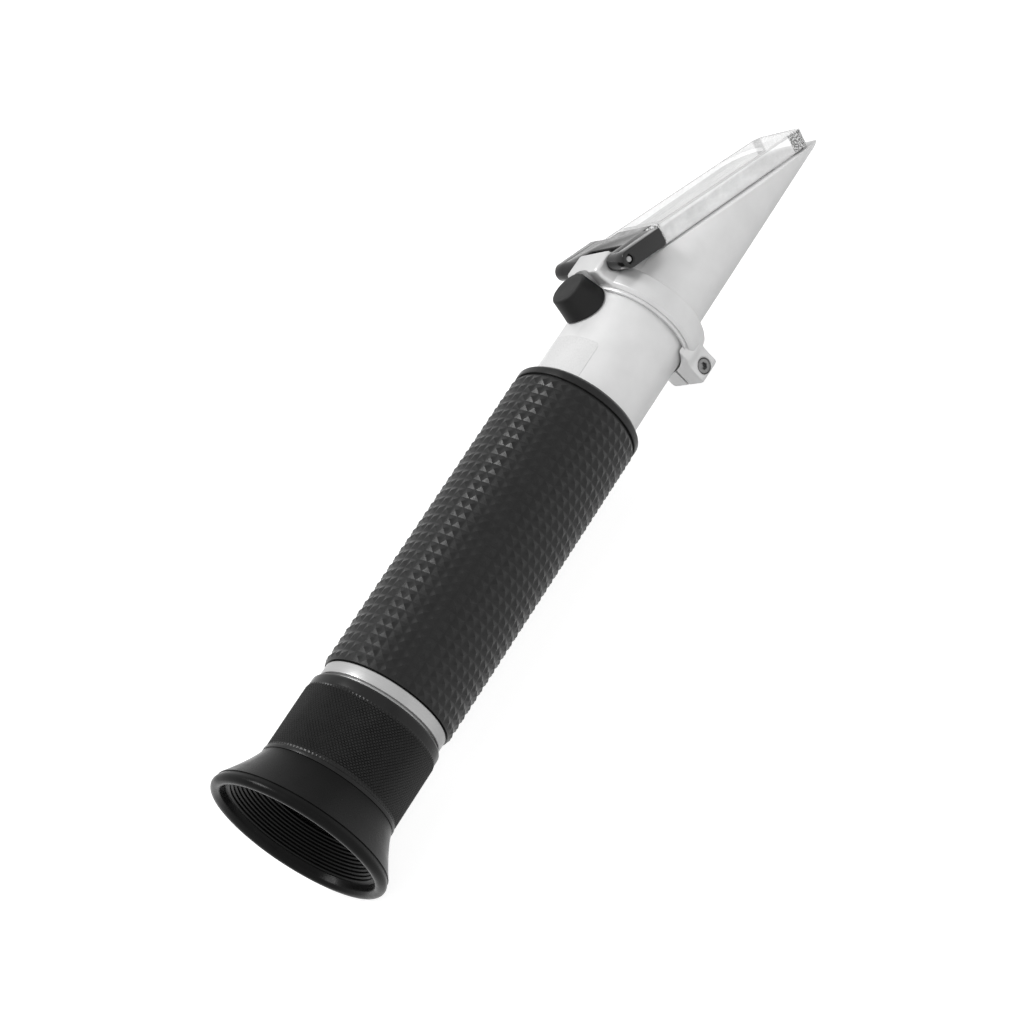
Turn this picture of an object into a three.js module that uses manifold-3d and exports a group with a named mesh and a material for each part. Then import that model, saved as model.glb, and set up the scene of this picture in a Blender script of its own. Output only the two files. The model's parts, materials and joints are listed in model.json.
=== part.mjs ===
// Handheld clinical refractometer: a slanted prism head under a hinged clear cover, a clamp ring
// that carries the hinge, a capped calibration screw, a studded grip and a focusing eyepiece.
//
// Millimetres. The optical axis runs along X, from the eye (-X) to the prism tip (+X). +Z is the
// side of the cover. Stations along the axis are measured from the widest circle of the eyecup.
// The finished group is moved so that its origin is the middle of the underside of its box.

import * as THREE from "three";
import { mergeVertices, toCreasedNormals } from "three/addons/utils/BufferGeometryUtils.js";
import Module from "manifold-3d";

const wasm = await Module();
wasm.setup();

// General

const SIDES = 32; // facets round the large turned parts
const INNER_SIDES = 16; // facets round the parts inside the tube
const SMALL_SIDES = 12; // facets round pins, screws and holes
const HEX = 6; // sides of nuts and sockets, and facets round the section of a seal
const CORNER_STEPS = 4; // facets of a rounded corner
const DOME_STEPS = 2; // facets from the middle of a lens to its rim
const LIP_STEPS = 6; // facets round the rolled lip of the eyecup
const FIT = 0.1; // clearance of parts that sit in each other
const RUN = 0.15; // radial clearance of parts that turn in each other
const SEAT = 0.3; // gap between faces that meet
const OVERRUN = 5; // how far a cutting tool reaches past the face that it cuts
const MERGE = 0.0001; // vertices closer than this are one vertex
const CREASE = THREE.MathUtils.degToRad(30);
const STUD_CREASE = THREE.MathUtils.degToRad(5);
const GLASS_OPACITY_SHARE = 0.45;

// Main tube

const tubeRadius = 11.6;
const tubeWall = 1.2;
const labelLength = 20.7; // bare tube between the grip and the clamp ring

// Grip

const gripLength = 73.1;
const gripWall = 1.5; // rubber under the studs
const studHeight = 0.75;
const studsAround = 40;
const studRows = 32;
const gripLipLength = 2.4;
const gripLipHeight = 0.6;
const gripGrooveWidth = 0.7;
const gripGrooveDepth = 0.3;

// Mount of the eyepiece in the rear of the tube

const bandHeight = 1.7; // of the silver band above the tube
const bandLength = 2.1;
const bandShoulder = 0.85;
const mountWall = 1.15;
const mountSpigotLength = 10.8;
const guidePinRadius = 0.6;
const guidePinInset = 3.1; // from the end of the tube
const oRingInset = 1.7;
const oRingSection = 0.5;

// Focusing barrel

const barrelRear = 9.8;
const barrelLength = 17.5;
const barrelWall = 0.8; // over the silver band
const barrelCollar = 2.0; // smooth end of the knurled barrel
const barrelCollarStep = 0.35;
const barrelRim = 0.9; // raised ring beside the eyecup
const barrelRimStep = 0.1;
const barrelChamfer = 0.4;
const skirtLength = 1.4;
const webLap = 2.15; // how far the web reaches in front of the lens tube's flange
const webWall = 1.3;
const spigotWall = 1.2;
const spigotLength = 3.2;
const focusForward = 2.0; // travel of the lens tube from its rest
const barrelGap = 1.4; // left between barrel and grip when the barrel is at its foremost

// Eyecup

const cupFlare = 4.75; // how far the rim stands out from the barrel
const cupLipRound = 1.16;
const cupThroatStep = 0.7;
const cupFlareShares = [0.8, 0.6, 0.41, 0.25, 0.11]; // how much of the flare is left at even steps

// Sliding lens tube

const lensTubeWall = 1.0;
const lensTubeReach = 4.0; // past the guide pin
const lensLip = 0.8;
const lensLipWall = 0.8;
const flangeWall = 1.4;
const slotWidth = 2.4;
const retainerWall = 1.5;

// Glass in the eyepiece

const eyeLensThickness = 4.0;
const fieldLensThickness = 3.4;
const fieldLensBulge = 0.2; // of its flatter face
const lensEdge = 1.6;
const lensRim = 1.5; // flat ring round the dome, on which the lens is held
const spacerLength = 11.0;
const spacerWall = 0.9;
const lockRingWall = 1.6;
const lockRingDepth = 1.4;

// Scale disc, baffle and objective

const holderWall = 1.1;
const holderStep = 1.2;
const holderLip = 1.9;
const reticleGap = 0.6;
const reticleHolderLength = 8.0;
const reticleThickness = 1.5;
const baffleWall = 1.6;
const baffleDepth = 3.8;
const objectiveLength = 9.0;
const objectiveThickness = 4.6;
const objectiveGap = 2.0;

// Compensator

const cellInset = 14.4; // from the calibration screw back to the cell's rear
const cellLength = 10.0;
const cellWall = 0.8;
const carrierGap = 0.6;
const carrierLength = 8.0;
const carrierRim = 4.4; // from the round of the carrier to the sides of its square window
const wedgeThick = 4.6;
const wedgeThin = 3.2;
const pivotRadius = 0.6;
const pivotLength = 2.0;
const leverWidth = 5.0;
const leverThickness = 1.4;
const leverInset = 0.9;
const footLength = 8.0;
const footWidth = 7.0;
const footThickness = 1.4;
const stripThickness = 0.5;
const stripWidth = 5.0;
const stripScrewRadius = 0.7;
const stripScrewHead = 1.3;

// Calibration screw and its rubber cap

const capInset = 3.6; // from the clamp ring back to the screw
const spotFace = 0.4; // depth of the flat that seats the bush
const bushRadius = 2.9;
const bushSpigotRadius = 2.2;
const bushHeight = 3.2;
const bushDepth = 1.5;
const adjustScrewRadius = 1.15;
const adjustHeadRadius = 2.2;
const adjustHeadHeight = 1.1;
const adjustSlot = 0.6;
const capBaseRadius = 4.9;
const capTopRadius = 4.15;
const capHeight = 5.4; // above the tube
const capEdge = 0.5;

// Clamp ring with hinge block and ears

const ringLength = 5.8;
const ringWall = 2.05;
const ringChamfer = 0.7;
const ringLip = 0.6;
const ringLipWall = 1.0;
const ringOverlap = 1.6; // how far the ring reaches past the joint of tube and head
const pinInset = 4.95; // from the ring's rear to the hinge pin
const pinRadius = 0.75;
const pinHeight = 2.95; // of the hinge pin above the slanted face
const blockInset = 0.7;
const blockLength = 5.8;
const blockHalfWidth = 5.0;
const blockTopAbovePin = 2.2;
const blockChamfer = 1.0;
const blockFoot = 1.6; // how far the block flares out at its foot
const earOverhang = 1.2; // how far the ears stand behind the ring
const earLength = 5.6;
const earDrop = 4.1; // below the tube
const earNear = 8.9; // outer faces of the two ears, from the middle plane
const earFar = 1.3;
const earSlit = 0.7;
const earCorner = 1.0;
const clampScrewInset = 2.1; // from the underside of the ears
const clampScrewRadius = 1.0;
const clampHeadRadius = 1.6;
const clampHeadHeight = 1.5;
const clampSocketRadius = 0.8;
const clampNutRadius = 1.5;
const clampNutHeight = 1.3;

// Prism head

const headStep = 0.9; // the head is this much smaller than the tube
const cutAngle = THREE.MathUtils.degToRad(19.35);
const cutGap = 0.2; // from the clamp ring to where the slanted cut leaves the top of the head
const tipLip = 2.7; // height of the blunt tip
const tipChamfer = 0.6;
const headSpigotLength = 5.4;
const headSpigotWall = 1.3;
const headBoreLength = 3.0;
const lightBore = 5.8;
const prismNose = 12.6; // from the prism to the tip
const prismLength = 32.6;
const prismSideWall = 4.2;
const prismFloorWall = 3.7;
const prismShoulder = 8.4;
const prismHeel = 2.0;

// Hinged cover

const coverInset = 3.0; // the cover is this much narrower than the head, each side
const armGap = 0.4;
const armWidth = 2.8;
const farReach = 1.5; // how much further out the far arm stands
const armFront = 9.7;
const armCorner = 0.7;
const knuckleRadius = 1.85; // also half the height of the arms
const webLow = 0.75;
const webFront = 9.5;
const tongueFront = 12.1;
const tongueHalfWidth = 5.65;
const notchFront = 3.6;
const coverRear = 3.4;
const coverFront = 56.2;
const coverThickness = 3.8;
const coverWedge = 0.7; // extra thickness at the hinge end
const coverFrontChamfer = 1.4;
const coverFloor = 1.5;
const coverWall = 1.3;
const windowInset = 1.5; // from the yoke's tongue to the window
const windowFront = 48.5;

// Radii that follow from the sizes above

const tubeBore = tubeRadius - tubeWall;
const insertRadius = tubeBore - FIT; // outside of everything that slides into the tube
const gripBore = tubeRadius + FIT;
const gripRootRadius = gripBore + gripWall;
const bandRadius = tubeRadius + bandHeight;
const threadRadius = bandRadius - bandShoulder;
const threadBore = threadRadius + RUN;
const skirtBore = bandRadius + RUN;
const barrelRadius = skirtBore + barrelWall;
const barrelCollarRadius = barrelRadius - barrelCollarStep;
const flangeRadius = threadBore - RUN - FIT;
const webBore = flangeRadius - webLap;
const spigotRadius = threadBore + FIT;
const spigotBore = spigotRadius - spigotWall;
const cupRimRadius = barrelRadius + cupFlare;
const mountBore = insertRadius - mountWall;
const lensTubeRadius = mountBore - RUN;
const lensTubeBore = lensTubeRadius - lensTubeWall;
const innerSeatBore = insertRadius - holderWall;
const innerClearBore = innerSeatBore - holderStep;
const cellBore = insertRadius - cellWall;
const carrierRadius = cellBore - carrierGap;
const carrierWindow = carrierRadius - carrierRim; // half the width of the window
const leverTop = carrierRadius - leverInset;
const ringBore = tubeRadius + FIT;
const ringRadius = tubeRadius + ringWall;
const headRadius = tubeRadius - headStep;
const earBottom = tubeRadius + earDrop;
const prismHalfWidth = headRadius - prismSideWall;
const coverHalfWidth = headRadius - coverInset;
const armInner = coverHalfWidth + armGap;
const yokeHalfWidth = armInner + armWidth;
const yokeFar = yokeHalfWidth + farReach;
const notchHalfWidth = blockHalfWidth + SEAT;

// Stations along the axis

const barrelFront = barrelRear + barrelLength;
const lensTubeRear = barrelRear + webWall / 2 + webWall;
const flangeRear = lensTubeRear + SEAT;
const retainerRear = flangeRear + flangeWall + SEAT;
const mountRear = retainerRear + retainerWall + focusForward + RUN;
const oRingStation = mountRear + oRingInset;
const tubeRear = barrelFront + focusForward + barrelGap;
const bandFront = tubeRear - FIT;
const guidePinStation = tubeRear + guidePinInset;
const lensTubeFront = guidePinStation + lensTubeReach;
const slotRear = guidePinStation - guidePinRadius - focusForward - SEAT;
const reticleRear = bandFront + mountSpigotLength + reticleGap;
const gripFront = tubeRear + gripLength;
const ringRear = gripFront + labelLength;
const ringFront = ringRear + ringLength;
const tubeFront = ringFront - ringOverlap;
const calibrationStation = ringRear - capInset;
const cellRear = calibrationStation - cellInset;
const objectiveRear = cellRear - footLength - objectiveGap - objectiveLength;
const baffleStation = (reticleRear + reticleHolderLength + objectiveRear) / 2;
const blockRear = ringRear + blockInset;
const blockFront = blockRear + blockLength;
const earRear = ringRear - earOverhang;
const earFront = earRear + earLength;
const cutStation = ringFront + cutGap;
const cutTan = Math.tan(cutAngle);
const slopeAt = (x) => headRadius - (x - cutStation) * cutTan; // height of the slanted face
const headTip = cutStation + (2 * headRadius - tipLip) / cutTan;
const prismFront = headTip - prismNose;
const prismRear = prismFront - prismLength;
const pinStation = ringRear + pinInset;
const pinZ = slopeAt(pinStation) + pinHeight / Math.cos(cutAngle);
const originX = (headTip - cupLipRound) / 2;
const originZ = -cupRimRadius;

// Solids

function toSolid(geometry) {
  const bare = geometry.clone();
  bare.deleteAttribute("normal");
  bare.deleteAttribute("uv");
  const merged = mergeVertices(bare, MERGE);
  const source = merged.index.array;
  const triangles = [];
  for (let i = 0; i < source.length; i += 3) {
    const [a, b, c] = [source[i], source[i + 1], source[i + 2]];
    if (a !== b && b !== c && c !== a) triangles.push(a, b, c);
  }
  const positions = merged.attributes.position.array;
  if (signedVolume(positions, triangles) < 0) {
    for (let i = 0; i < triangles.length; i += 3) {
      [triangles[i + 1], triangles[i + 2]] = [triangles[i + 2], triangles[i + 1]];
    }
  }
  const mesh = new wasm.Mesh({
    numProp: 3,
    vertProperties: new Float32Array(positions),
    triVerts: new Uint32Array(triangles),
  });
  return new wasm.Manifold(mesh);
}

function signedVolume(positions, triangles) {
  const corner = (i) => new THREE.Vector3().fromArray(positions, 3 * triangles[i]);
  let sum = 0;
  for (let i = 0; i < triangles.length; i += 3) {
    sum += corner(i).dot(corner(i + 1).cross(corner(i + 2)));
  }
  return sum / 6;
}

function toGeometry(solid, crease = CREASE) {
  const { vertProperties, triVerts } = solid.getMesh();
  const geometry = new THREE.BufferGeometry();
  geometry.setAttribute("position", new THREE.BufferAttribute(new Float32Array(vertProperties), 3));
  geometry.setIndex(new THREE.BufferAttribute(new Uint32Array(triVerts), 1));
  return toCreasedNormals(geometry, crease);
}

// A body of revolution about X. The outline is a list of [station, radius] that closes on itself,
// or that starts and ends on the axis.
function revolve(outline, sides = INNER_SIDES) {
  const points = outline.map(([x, r]) => new THREE.Vector2(r, x));
  const closed = outline[0][1] > 0;
  if (closed) points.push(points[0].clone());
  const geometry = new THREE.LatheGeometry(points, sides);
  geometry.rotateZ(-Math.PI / 2);
  return toSolid(geometry);
}

const sleeve = (x0, x1, outer, bore, sides) =>
  revolve([[x0, bore], [x0, outer], [x1, outer], [x1, bore]], sides);

const bar = (x0, x1, radius, sides) =>
  revolve([[x0, 0], [x0, radius], [x1, radius], [x1, 0]], sides);

function rod(radius, from, to, sides = SMALL_SIDES) {
  const start = new THREE.Vector3(...from);
  const end = new THREE.Vector3(...to);
  const direction = end.clone().sub(start);
  const geometry = new THREE.CylinderGeometry(radius, radius, direction.length(), sides);
  const turn = new THREE.Quaternion().setFromUnitVectors(
    new THREE.Vector3(0, 1, 0),
    direction.clone().normalize(),
  );
  geometry.applyQuaternion(turn);
  geometry.translate(...start.add(end).multiplyScalar(0.5));
  return toSolid(geometry);
}

function block(low, high) {
  const size = high.map((value, axis) => value - low[axis]);
  const geometry = new THREE.BoxGeometry(...size);
  geometry.translate(...low.map((value, axis) => value + size[axis] / 2));
  return toSolid(geometry);
}

// An outline in the X-Z plane, extruded along Y between two stations.
function plateXZ(outline, y0, y1) {
  const shape = outline instanceof THREE.Shape ? outline : shapeOf(outline);
  const geometry = new THREE.ExtrudeGeometry(shape, {
    depth: y1 - y0,
    bevelEnabled: false,
    curveSegments: CORNER_STEPS,
  });
  geometry.rotateX(Math.PI / 2);
  geometry.translate(0, y1, 0);
  return toSolid(geometry);
}

// An outline in the X-Y plane, extruded along Z between two heights.
function plateXY(outline, z0, z1, curveSegments = CORNER_STEPS) {
  const shape = outline instanceof THREE.Shape ? outline : shapeOf(outline);
  const geometry = new THREE.ExtrudeGeometry(shape, {
    depth: z1 - z0,
    bevelEnabled: false,
    curveSegments,
  });
  geometry.translate(0, 0, z0);
  return toSolid(geometry);
}

// An outline in the Y-Z plane, extruded along X between two stations.
function plateYZ(outline, x0, x1) {
  const shape = outline instanceof THREE.Shape ? outline : shapeOf(outline);
  const geometry = new THREE.ExtrudeGeometry(shape, {
    depth: x1 - x0,
    bevelEnabled: false,
    curveSegments: CORNER_STEPS,
  });
  const axes = new THREE.Matrix4().makeBasis(
    new THREE.Vector3(0, 1, 0),
    new THREE.Vector3(0, 0, 1),
    new THREE.Vector3(1, 0, 0),
  );
  geometry.applyMatrix4(axes);
  geometry.translate(x0, 0, 0);
  return toSolid(geometry);
}

const shapeOf = (outline) => new THREE.Shape(outline.map(([a, b]) => new THREE.Vector2(a, b)));

// Meshes

const materials = {
  tube: [0xd9d9d8, 0.38, 0.9],
  ring: [0xc9c9c8, 0.35, 0.9],
  band: [0xc4c4c4, 0.28, 0.95],
  grip: [0x1b1b1c, 0.62, 0],
  barrel: [0x1a1a1b, 0.5, 0],
  cup: [0x151516, 0.32, 0],
  cap: [0x222223, 0.6, 0],
  yoke: [0x2b2b2c, 0.5, 0],
  steel: [0xb8b8b8, 0.3, 0.95],
  brass: [0xb08d4a, 0.35, 0.95],
  blackMetal: [0x1d1d1f, 0.45, 0.6],
  glass: [0xe8eef0, 0.05, 0],
  clear: [0xeef2f3, 0.08, 0],
  bimetal: [0xa58a62, 0.4, 0.9],
};

const device = new THREE.Group();

function add(name, solid, finish, parent = device, crease = CREASE) {
  const [color, roughness, metalness] = materials[finish];
  const seeThrough = finish === "glass" || finish === "clear";
  const material = new THREE.MeshStandardMaterial({
    color,
    roughness,
    metalness,
    transparent: seeThrough,
    opacity: seeThrough ? GLASS_OPACITY_SHARE : 1,
  });
  const mesh = new THREE.Mesh(toGeometry(solid, crease), material);
  mesh.name = name;
  parent.add(mesh);
  return mesh;
}

// Eyecup: a flared rubber cup with a rolled lip, pushed onto the spigot of the focusing barrel

function eyecup() {
  const front = barrelRear - FIT;
  const socket = barrelRear - spigotLength - SEAT;
  const lipCentre = cupRimRadius - cupLipRound;
  const lip = [];
  for (let i = 0; i <= LIP_STEPS; i++) {
    const turn = Math.PI * (i / LIP_STEPS - 1 / 2);
    lip.push([-cupLipRound * Math.cos(turn), lipCentre + cupLipRound * Math.sin(turn)]);
  }
  const flare = cupFlareShares.map((share, i) => {
    const along = (i + 1) / (cupFlareShares.length + 1);
    return [along * front, barrelRadius + share * cupFlare];
  });
  return revolve([
    [socket, spigotRadius - cupThroatStep],
    ...lip,
    ...flare,
    [front, barrelRadius],
    [front, spigotRadius + FIT],
    [socket, spigotRadius + FIT],
  ], SIDES);
}

// Focusing barrel: turns on the thread of the mount and carries the lens tube along

function focusRing() {
  const webRear = barrelRear + webWall / 2;
  const webFace = webRear + webWall;
  const spigotRear = barrelRear - spigotLength;
  const rimRadius = barrelRadius + barrelRimStep;
  const collarRear = barrelFront - barrelCollar;
  const collarTop = barrelCollarRadius + barrelCollarStep / 2;
  const skirtRear = barrelFront - skirtLength;
  return revolve([
    [spigotRear, spigotBore],
    [spigotRear, spigotRadius],
    [barrelRear, spigotRadius],
    [barrelRear, rimRadius],
    [barrelRear + barrelRim, rimRadius],
    [barrelRear + barrelRim, barrelRadius],
    [collarRear, barrelRadius],
    [collarRear, collarTop],
    [barrelFront - barrelChamfer, collarTop],
    [barrelFront, barrelCollarRadius],
    [barrelFront, skirtBore],
    [skirtRear, skirtBore],
    [skirtRear, threadBore],
    [webFace, threadBore],
    [webFace, webBore],
    [webRear, webBore],
    [webRear, spigotBore],
  ], SIDES);
}

function eyepieceTube() {
  const turned = revolve([
    [flangeRear, lensTubeBore - lensLip],
    [flangeRear, flangeRadius],
    [flangeRear + flangeWall, flangeRadius],
    [flangeRear + flangeWall, lensTubeRadius],
    [lensTubeFront, lensTubeRadius],
    [lensTubeFront, lensTubeBore],
    [flangeRear + lensLipWall, lensTubeBore],
    [flangeRear + lensLipWall, lensTubeBore - lensLip],
  ]);
  const slot = block(
    [slotRear, -slotWidth / 2, -lensTubeRadius - OVERRUN],
    [lensTubeFront + OVERRUN, slotWidth / 2, 0],
  );
  return turned.subtract(slot);
}

const focusRetainer = () =>
  sleeve(retainerRear, retainerRear + retainerWall, threadRadius, lensTubeRadius + 2 * RUN, INNER_SIDES);

// A lens whose faces are domes inside a flat rim; a bulge of 0 leaves that face flat
function lens(rear, thickness, radius, rearBulge, frontBulge) {
  const front = rear + thickness;
  const shares = Array.from({ length: DOME_STEPS }, (_, i) => (i + 1) / DOME_STEPS);
  const point = (face, depth, share) => [face + depth * share ** 2, (radius - lensRim) * share];
  const dome = (face, depth) => (depth === 0 ? [] : shares.map((share) => point(face, depth, share)));
  return revolve([
    [rear, 0],
    ...dome(rear, rearBulge),
    [rear + rearBulge, radius],
    [front - frontBulge, radius],
    ...dome(front, -frontBulge).reverse(),
    [front, 0],
  ]);
}

function eyepieceGlass() {
  const lensRadius = lensTubeBore - FIT;
  const eyeRear = flangeRear + lensLipWall + SEAT;
  const spacerRear = eyeRear + lensEdge + SEAT;
  const fieldDome = fieldLensThickness - lensEdge - fieldLensBulge;
  const fieldRear = spacerRear + spacerLength + SEAT - fieldDome;
  const lockRear = fieldRear + fieldLensThickness - fieldLensBulge + SEAT;
  const eyeLens = lens(eyeRear, eyeLensThickness, lensRadius, 0, eyeLensThickness - lensEdge);
  const fieldLens = lens(fieldRear, fieldLensThickness, lensRadius, fieldDome, fieldLensBulge);
  const spacer = sleeve(spacerRear, spacerRear + spacerLength, lensRadius, lensRadius - spacerWall);
  const lockRing = sleeve(lockRear, lockRear + lockRingWall, lensRadius, lensRadius - lockRingDepth);
  add("eye_lens", eyeLens, "glass");
  add("lens_spacer", spacer, "blackMetal");
  add("field_lens", fieldLens, "glass");
  add("lens_lock_ring", lockRing, "blackMetal");
}

// Silver mount: threaded nose, visible band and a spigot in the main tube

function eyepieceMount() {
  const groove = oRingSection + FIT;
  const grooveRadius = threadRadius - 2 * oRingSection - SEAT;
  const spigotFront = bandFront + mountSpigotLength;
  const turned = revolve([
    [mountRear, mountBore],
    [mountRear, threadRadius],
    [oRingStation - groove, threadRadius],
    [oRingStation - groove, grooveRadius],
    [oRingStation + groove, grooveRadius],
    [oRingStation + groove, threadRadius],
    [bandFront - bandLength, threadRadius],
    [bandFront - bandLength, bandRadius],
    [bandFront, bandRadius],
    [bandFront, insertRadius],
    [spigotFront, insertRadius],
    [spigotFront, mountBore],
  ], SIDES);
  return turned.subtract(guidePinRod(guidePinRadius + FIT, OVERRUN));
}

const guidePinRod = (radius, extra) => rod(
  radius,
  [guidePinStation, 0, -lensTubeBore - FIT + extra],
  [guidePinStation, 0, -insertRadius + FIT - extra],
);

function focusSeal() {
  const ring = threadRadius - oRingSection;
  const section = [];
  for (let i = 0; i < HEX; i++) {
    const turn = (i / HEX) * 2 * Math.PI;
    section.push([oRingStation - oRingSection * Math.cos(turn), ring + oRingSection * Math.sin(turn)]);
  }
  return revolve(section);
}

// Tube and grip

function mainTube() {
  const at = (z) => [calibrationStation, 0, z];
  const outside = tubeRadius + OVERRUN;
  const hole = rod(bushSpigotRadius + FIT, at(0), at(outside));
  const flat = rod(bushRadius + SEAT, at(tubeRadius - spotFace), at(outside), INNER_SIDES);
  return sleeve(tubeRear, tubeFront, tubeRadius, tubeBore, SIDES).subtract(hole).subtract(flat);
}

// A rubber sleeve whose outside is a grid of square-based studs with pointed tops
function gripSleeve() {
  const studRear = tubeRear + FIT;
  const studFront = gripFront - gripLipLength - gripGrooveWidth;
  const grooveRadius = gripRootRadius - gripGrooveDepth;
  const lipRadius = gripRootRadius + gripLipHeight;
  const pitch = (studFront - studRear) / studRows;
  const positions = [];
  const ringOf = (x, r, turn = 0) => {
    const first = positions.length / 3;
    for (let i = 0; i < studsAround; i++) {
      const angle = ((i + turn) / studsAround) * 2 * Math.PI;
      positions.push(x, -r * Math.sin(angle), r * Math.cos(angle));
    }
    return (i) => first + (i % studsAround);
  };
  const triangles = [];
  const band = (a, b) => {
    for (let i = 0; i < studsAround; i++) {
      triangles.push(a(i), a(i + 1), b(i), b(i), a(i + 1), b(i + 1));
    }
  };
  const firstRing = ringOf(studRear, gripRootRadius);
  let lower = firstRing;
  for (let row = 0; row < studRows; row++) {
    const tops = ringOf(studRear + (row + 1 / 2) * pitch, gripRootRadius + studHeight, 1 / 2);
    const upper = ringOf(studRear + (row + 1) * pitch, gripRootRadius);
    for (let i = 0; i < studsAround; i++) {
      const corners = [lower(i), lower(i + 1), upper(i + 1), upper(i)];
      corners.forEach((corner, k) => {
        triangles.push(corner, corners[(k + 1) % corners.length], tops(i));
      });
    }
    lower = upper;
  }
  const outline = [
    [studFront, grooveRadius],
    [studFront + gripGrooveWidth, grooveRadius],
    [studFront + gripGrooveWidth, lipRadius],
    [gripFront - gripGrooveWidth, lipRadius],
    [gripFront, lipRadius - gripGrooveWidth],
    [gripFront, gripBore],
    [studRear, gripBore],
  ];
  for (const [x, r] of outline) {
    const next = ringOf(x, r);
    band(lower, next);
    lower = next;
  }
  band(lower, firstRing);
  const geometry = new THREE.BufferGeometry();
  geometry.setAttribute("position", new THREE.Float32BufferAttribute(positions, 3));
  geometry.setIndex(triangles);
  return toSolid(geometry);
}

// A holder with a stepped bore, its glass and the ring that locks it
function holderWithGlass(rear, length, glassThickness, bulge, names) {
  const [holderName, glassName, lockName] = names;
  const front = rear + length;
  const holder = revolve([
    [rear, innerClearBore],
    [rear, insertRadius],
    [front, insertRadius],
    [front, innerSeatBore],
    [rear + holderLip, innerSeatBore],
    [rear + holderLip, innerClearBore],
  ]);
  const glassRear = rear + holderLip + FIT;
  const glassRadius = innerSeatBore - FIT;
  const lockRear = glassRear + glassThickness - bulge + SEAT;
  const lockRing = sleeve(lockRear, lockRear + lockRingWall, glassRadius, glassRadius - lockRingDepth);
  add(holderName, holder, "blackMetal");
  add(glassName, lens(glassRear, glassThickness, glassRadius, bulge, bulge), "glass");
  add(lockName, lockRing, "blackMetal");
}

const lightBaffle = () =>
  sleeve(baffleStation, baffleStation + baffleWall, insertRadius, insertRadius - baffleDepth);

// Compensator: a wedge prism in a carrier that tilts on two pins when the screw presses its lever

const cellMiddle = cellRear + cellLength / 2;
const carrierRear = cellMiddle - carrierLength / 2;
const carrierFront = cellMiddle + carrierLength / 2;
const footRear = cellRear - footLength;
const footTop = -insertRadius + footThickness;
const stripLow = footTop + FIT;
const stripScrewStation = footRear + stripWidth / 2;

function pivotRod(radius, side, inward, outward) {
  const outer = insertRadius - FIT;
  const at = (y) => [cellMiddle, side * y, 0];
  return rod(radius, at(outer - pivotLength - inward), at(outer + outward));
}

const stripHole = () =>
  rod(stripScrewRadius + FIT, [stripScrewStation, 0, 0], [stripScrewStation, 0, -tubeRadius]);

function compensatorCell() {
  const foot = block([footRear, -footWidth / 2, -insertRadius], [cellRear + FIT, footWidth / 2, footTop])
    .intersect(bar(footRear, cellRear + FIT, insertRadius));
  return sleeve(cellRear, cellRear + cellLength, insertRadius, cellBore)
    .add(foot)
    .subtract(pivotRod(pivotRadius + FIT, 1, 0, OVERRUN))
    .subtract(pivotRod(pivotRadius + FIT, -1, 0, OVERRUN))
    .subtract(stripHole());
}

function wedgeCarrier() {
  const window = block(
    [carrierRear - OVERRUN, -carrierWindow, -carrierWindow],
    [carrierFront + OVERRUN, carrierWindow, carrierWindow],
  );
  const lever = block(
    [carrierFront - FIT, -leverWidth / 2, leverTop - leverThickness],
    [calibrationStation + leverWidth / 2, leverWidth / 2, leverTop],
  );
  return bar(carrierRear, carrierFront, carrierRadius)
    .add(lever)
    .subtract(window)
    .subtract(pivotRod(pivotRadius + FIT, 1, SEAT, OVERRUN))
    .subtract(pivotRod(pivotRadius + FIT, -1, SEAT, OVERRUN));
}

function wedgePrism() {
  const half = carrierWindow - FIT;
  const rear = cellMiddle - wedgeThick / 2;
  const outline = [[rear, -half], [rear + wedgeThick, -half], [rear + wedgeThin, half], [rear, half]];
  return plateXZ(outline, -half, half);
}

function bimetalStrip() {
  const low = [footRear, -stripWidth / 2, stripLow];
  const high = [carrierRear - SEAT, stripWidth / 2, stripLow + stripThickness];
  return block(low, high).subtract(stripHole());
}

function stripScrew() {
  const at = (z) => [stripScrewStation, 0, z];
  const headLow = stripLow + stripThickness + FIT;
  return rod(stripScrewRadius, at(-insertRadius + FIT), at(headLow))
    .add(rod(stripScrewHead, at(headLow), at(headLow + stripScrewRadius)));
}

// Calibration screw in its bush, under a rubber cap

const bushSeat = tubeRadius - spotFace + FIT;
const bushTop = bushSeat + bushHeight;
const adjustHeadLow = bushTop + FIT;
const adjustHeadTop = adjustHeadLow + adjustHeadHeight;
const overScrew = (z) => [calibrationStation, 0, z];

const calibrationBush = () =>
  rod(bushRadius, overScrew(bushSeat), overScrew(bushTop), INNER_SIDES)
    .add(rod(bushSpigotRadius, overScrew(bushSeat - bushDepth), overScrew(bushSeat), SMALL_SIDES))
    .subtract(rod(adjustScrewRadius + RUN, overScrew(0), overScrew(bushTop + OVERRUN)));

function calibrationScrew() {
  const slot = block(
    [calibrationStation - capBaseRadius, -adjustSlot / 2, adjustHeadTop - adjustSlot],
    [calibrationStation + capBaseRadius, adjustSlot / 2, adjustHeadTop + OVERRUN],
  );
  return rod(adjustHeadRadius, overScrew(adjustHeadLow), overScrew(adjustHeadTop), INNER_SIDES)
    .add(rod(adjustScrewRadius, overScrew(leverTop + SEAT), overScrew(adjustHeadLow)))
    .subtract(slot);
}

function calibrationCap() {
  const capTop = tubeRadius + capHeight;
  const profile = [
    [0, 0],
    [0, capBaseRadius],
    [tubeRadius, capBaseRadius],
    [capTop - capEdge, capTopRadius],
    [capTop, capTopRadius - capEdge],
    [capTop, 0],
  ];
  const upright = new THREE.LatheGeometry(profile.map(([z, r]) => new THREE.Vector2(r, z)), SIDES);
  upright.rotateX(Math.PI / 2);
  upright.translate(...overScrew(0));
  const saddle = bar(0, headTip, tubeRadius + SEAT, SIDES);
  const socket = rod(bushRadius + FIT, overScrew(0), overScrew(adjustHeadTop + SEAT), INNER_SIDES);
  return toSolid(upright).subtract(saddle).subtract(socket);
}

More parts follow.
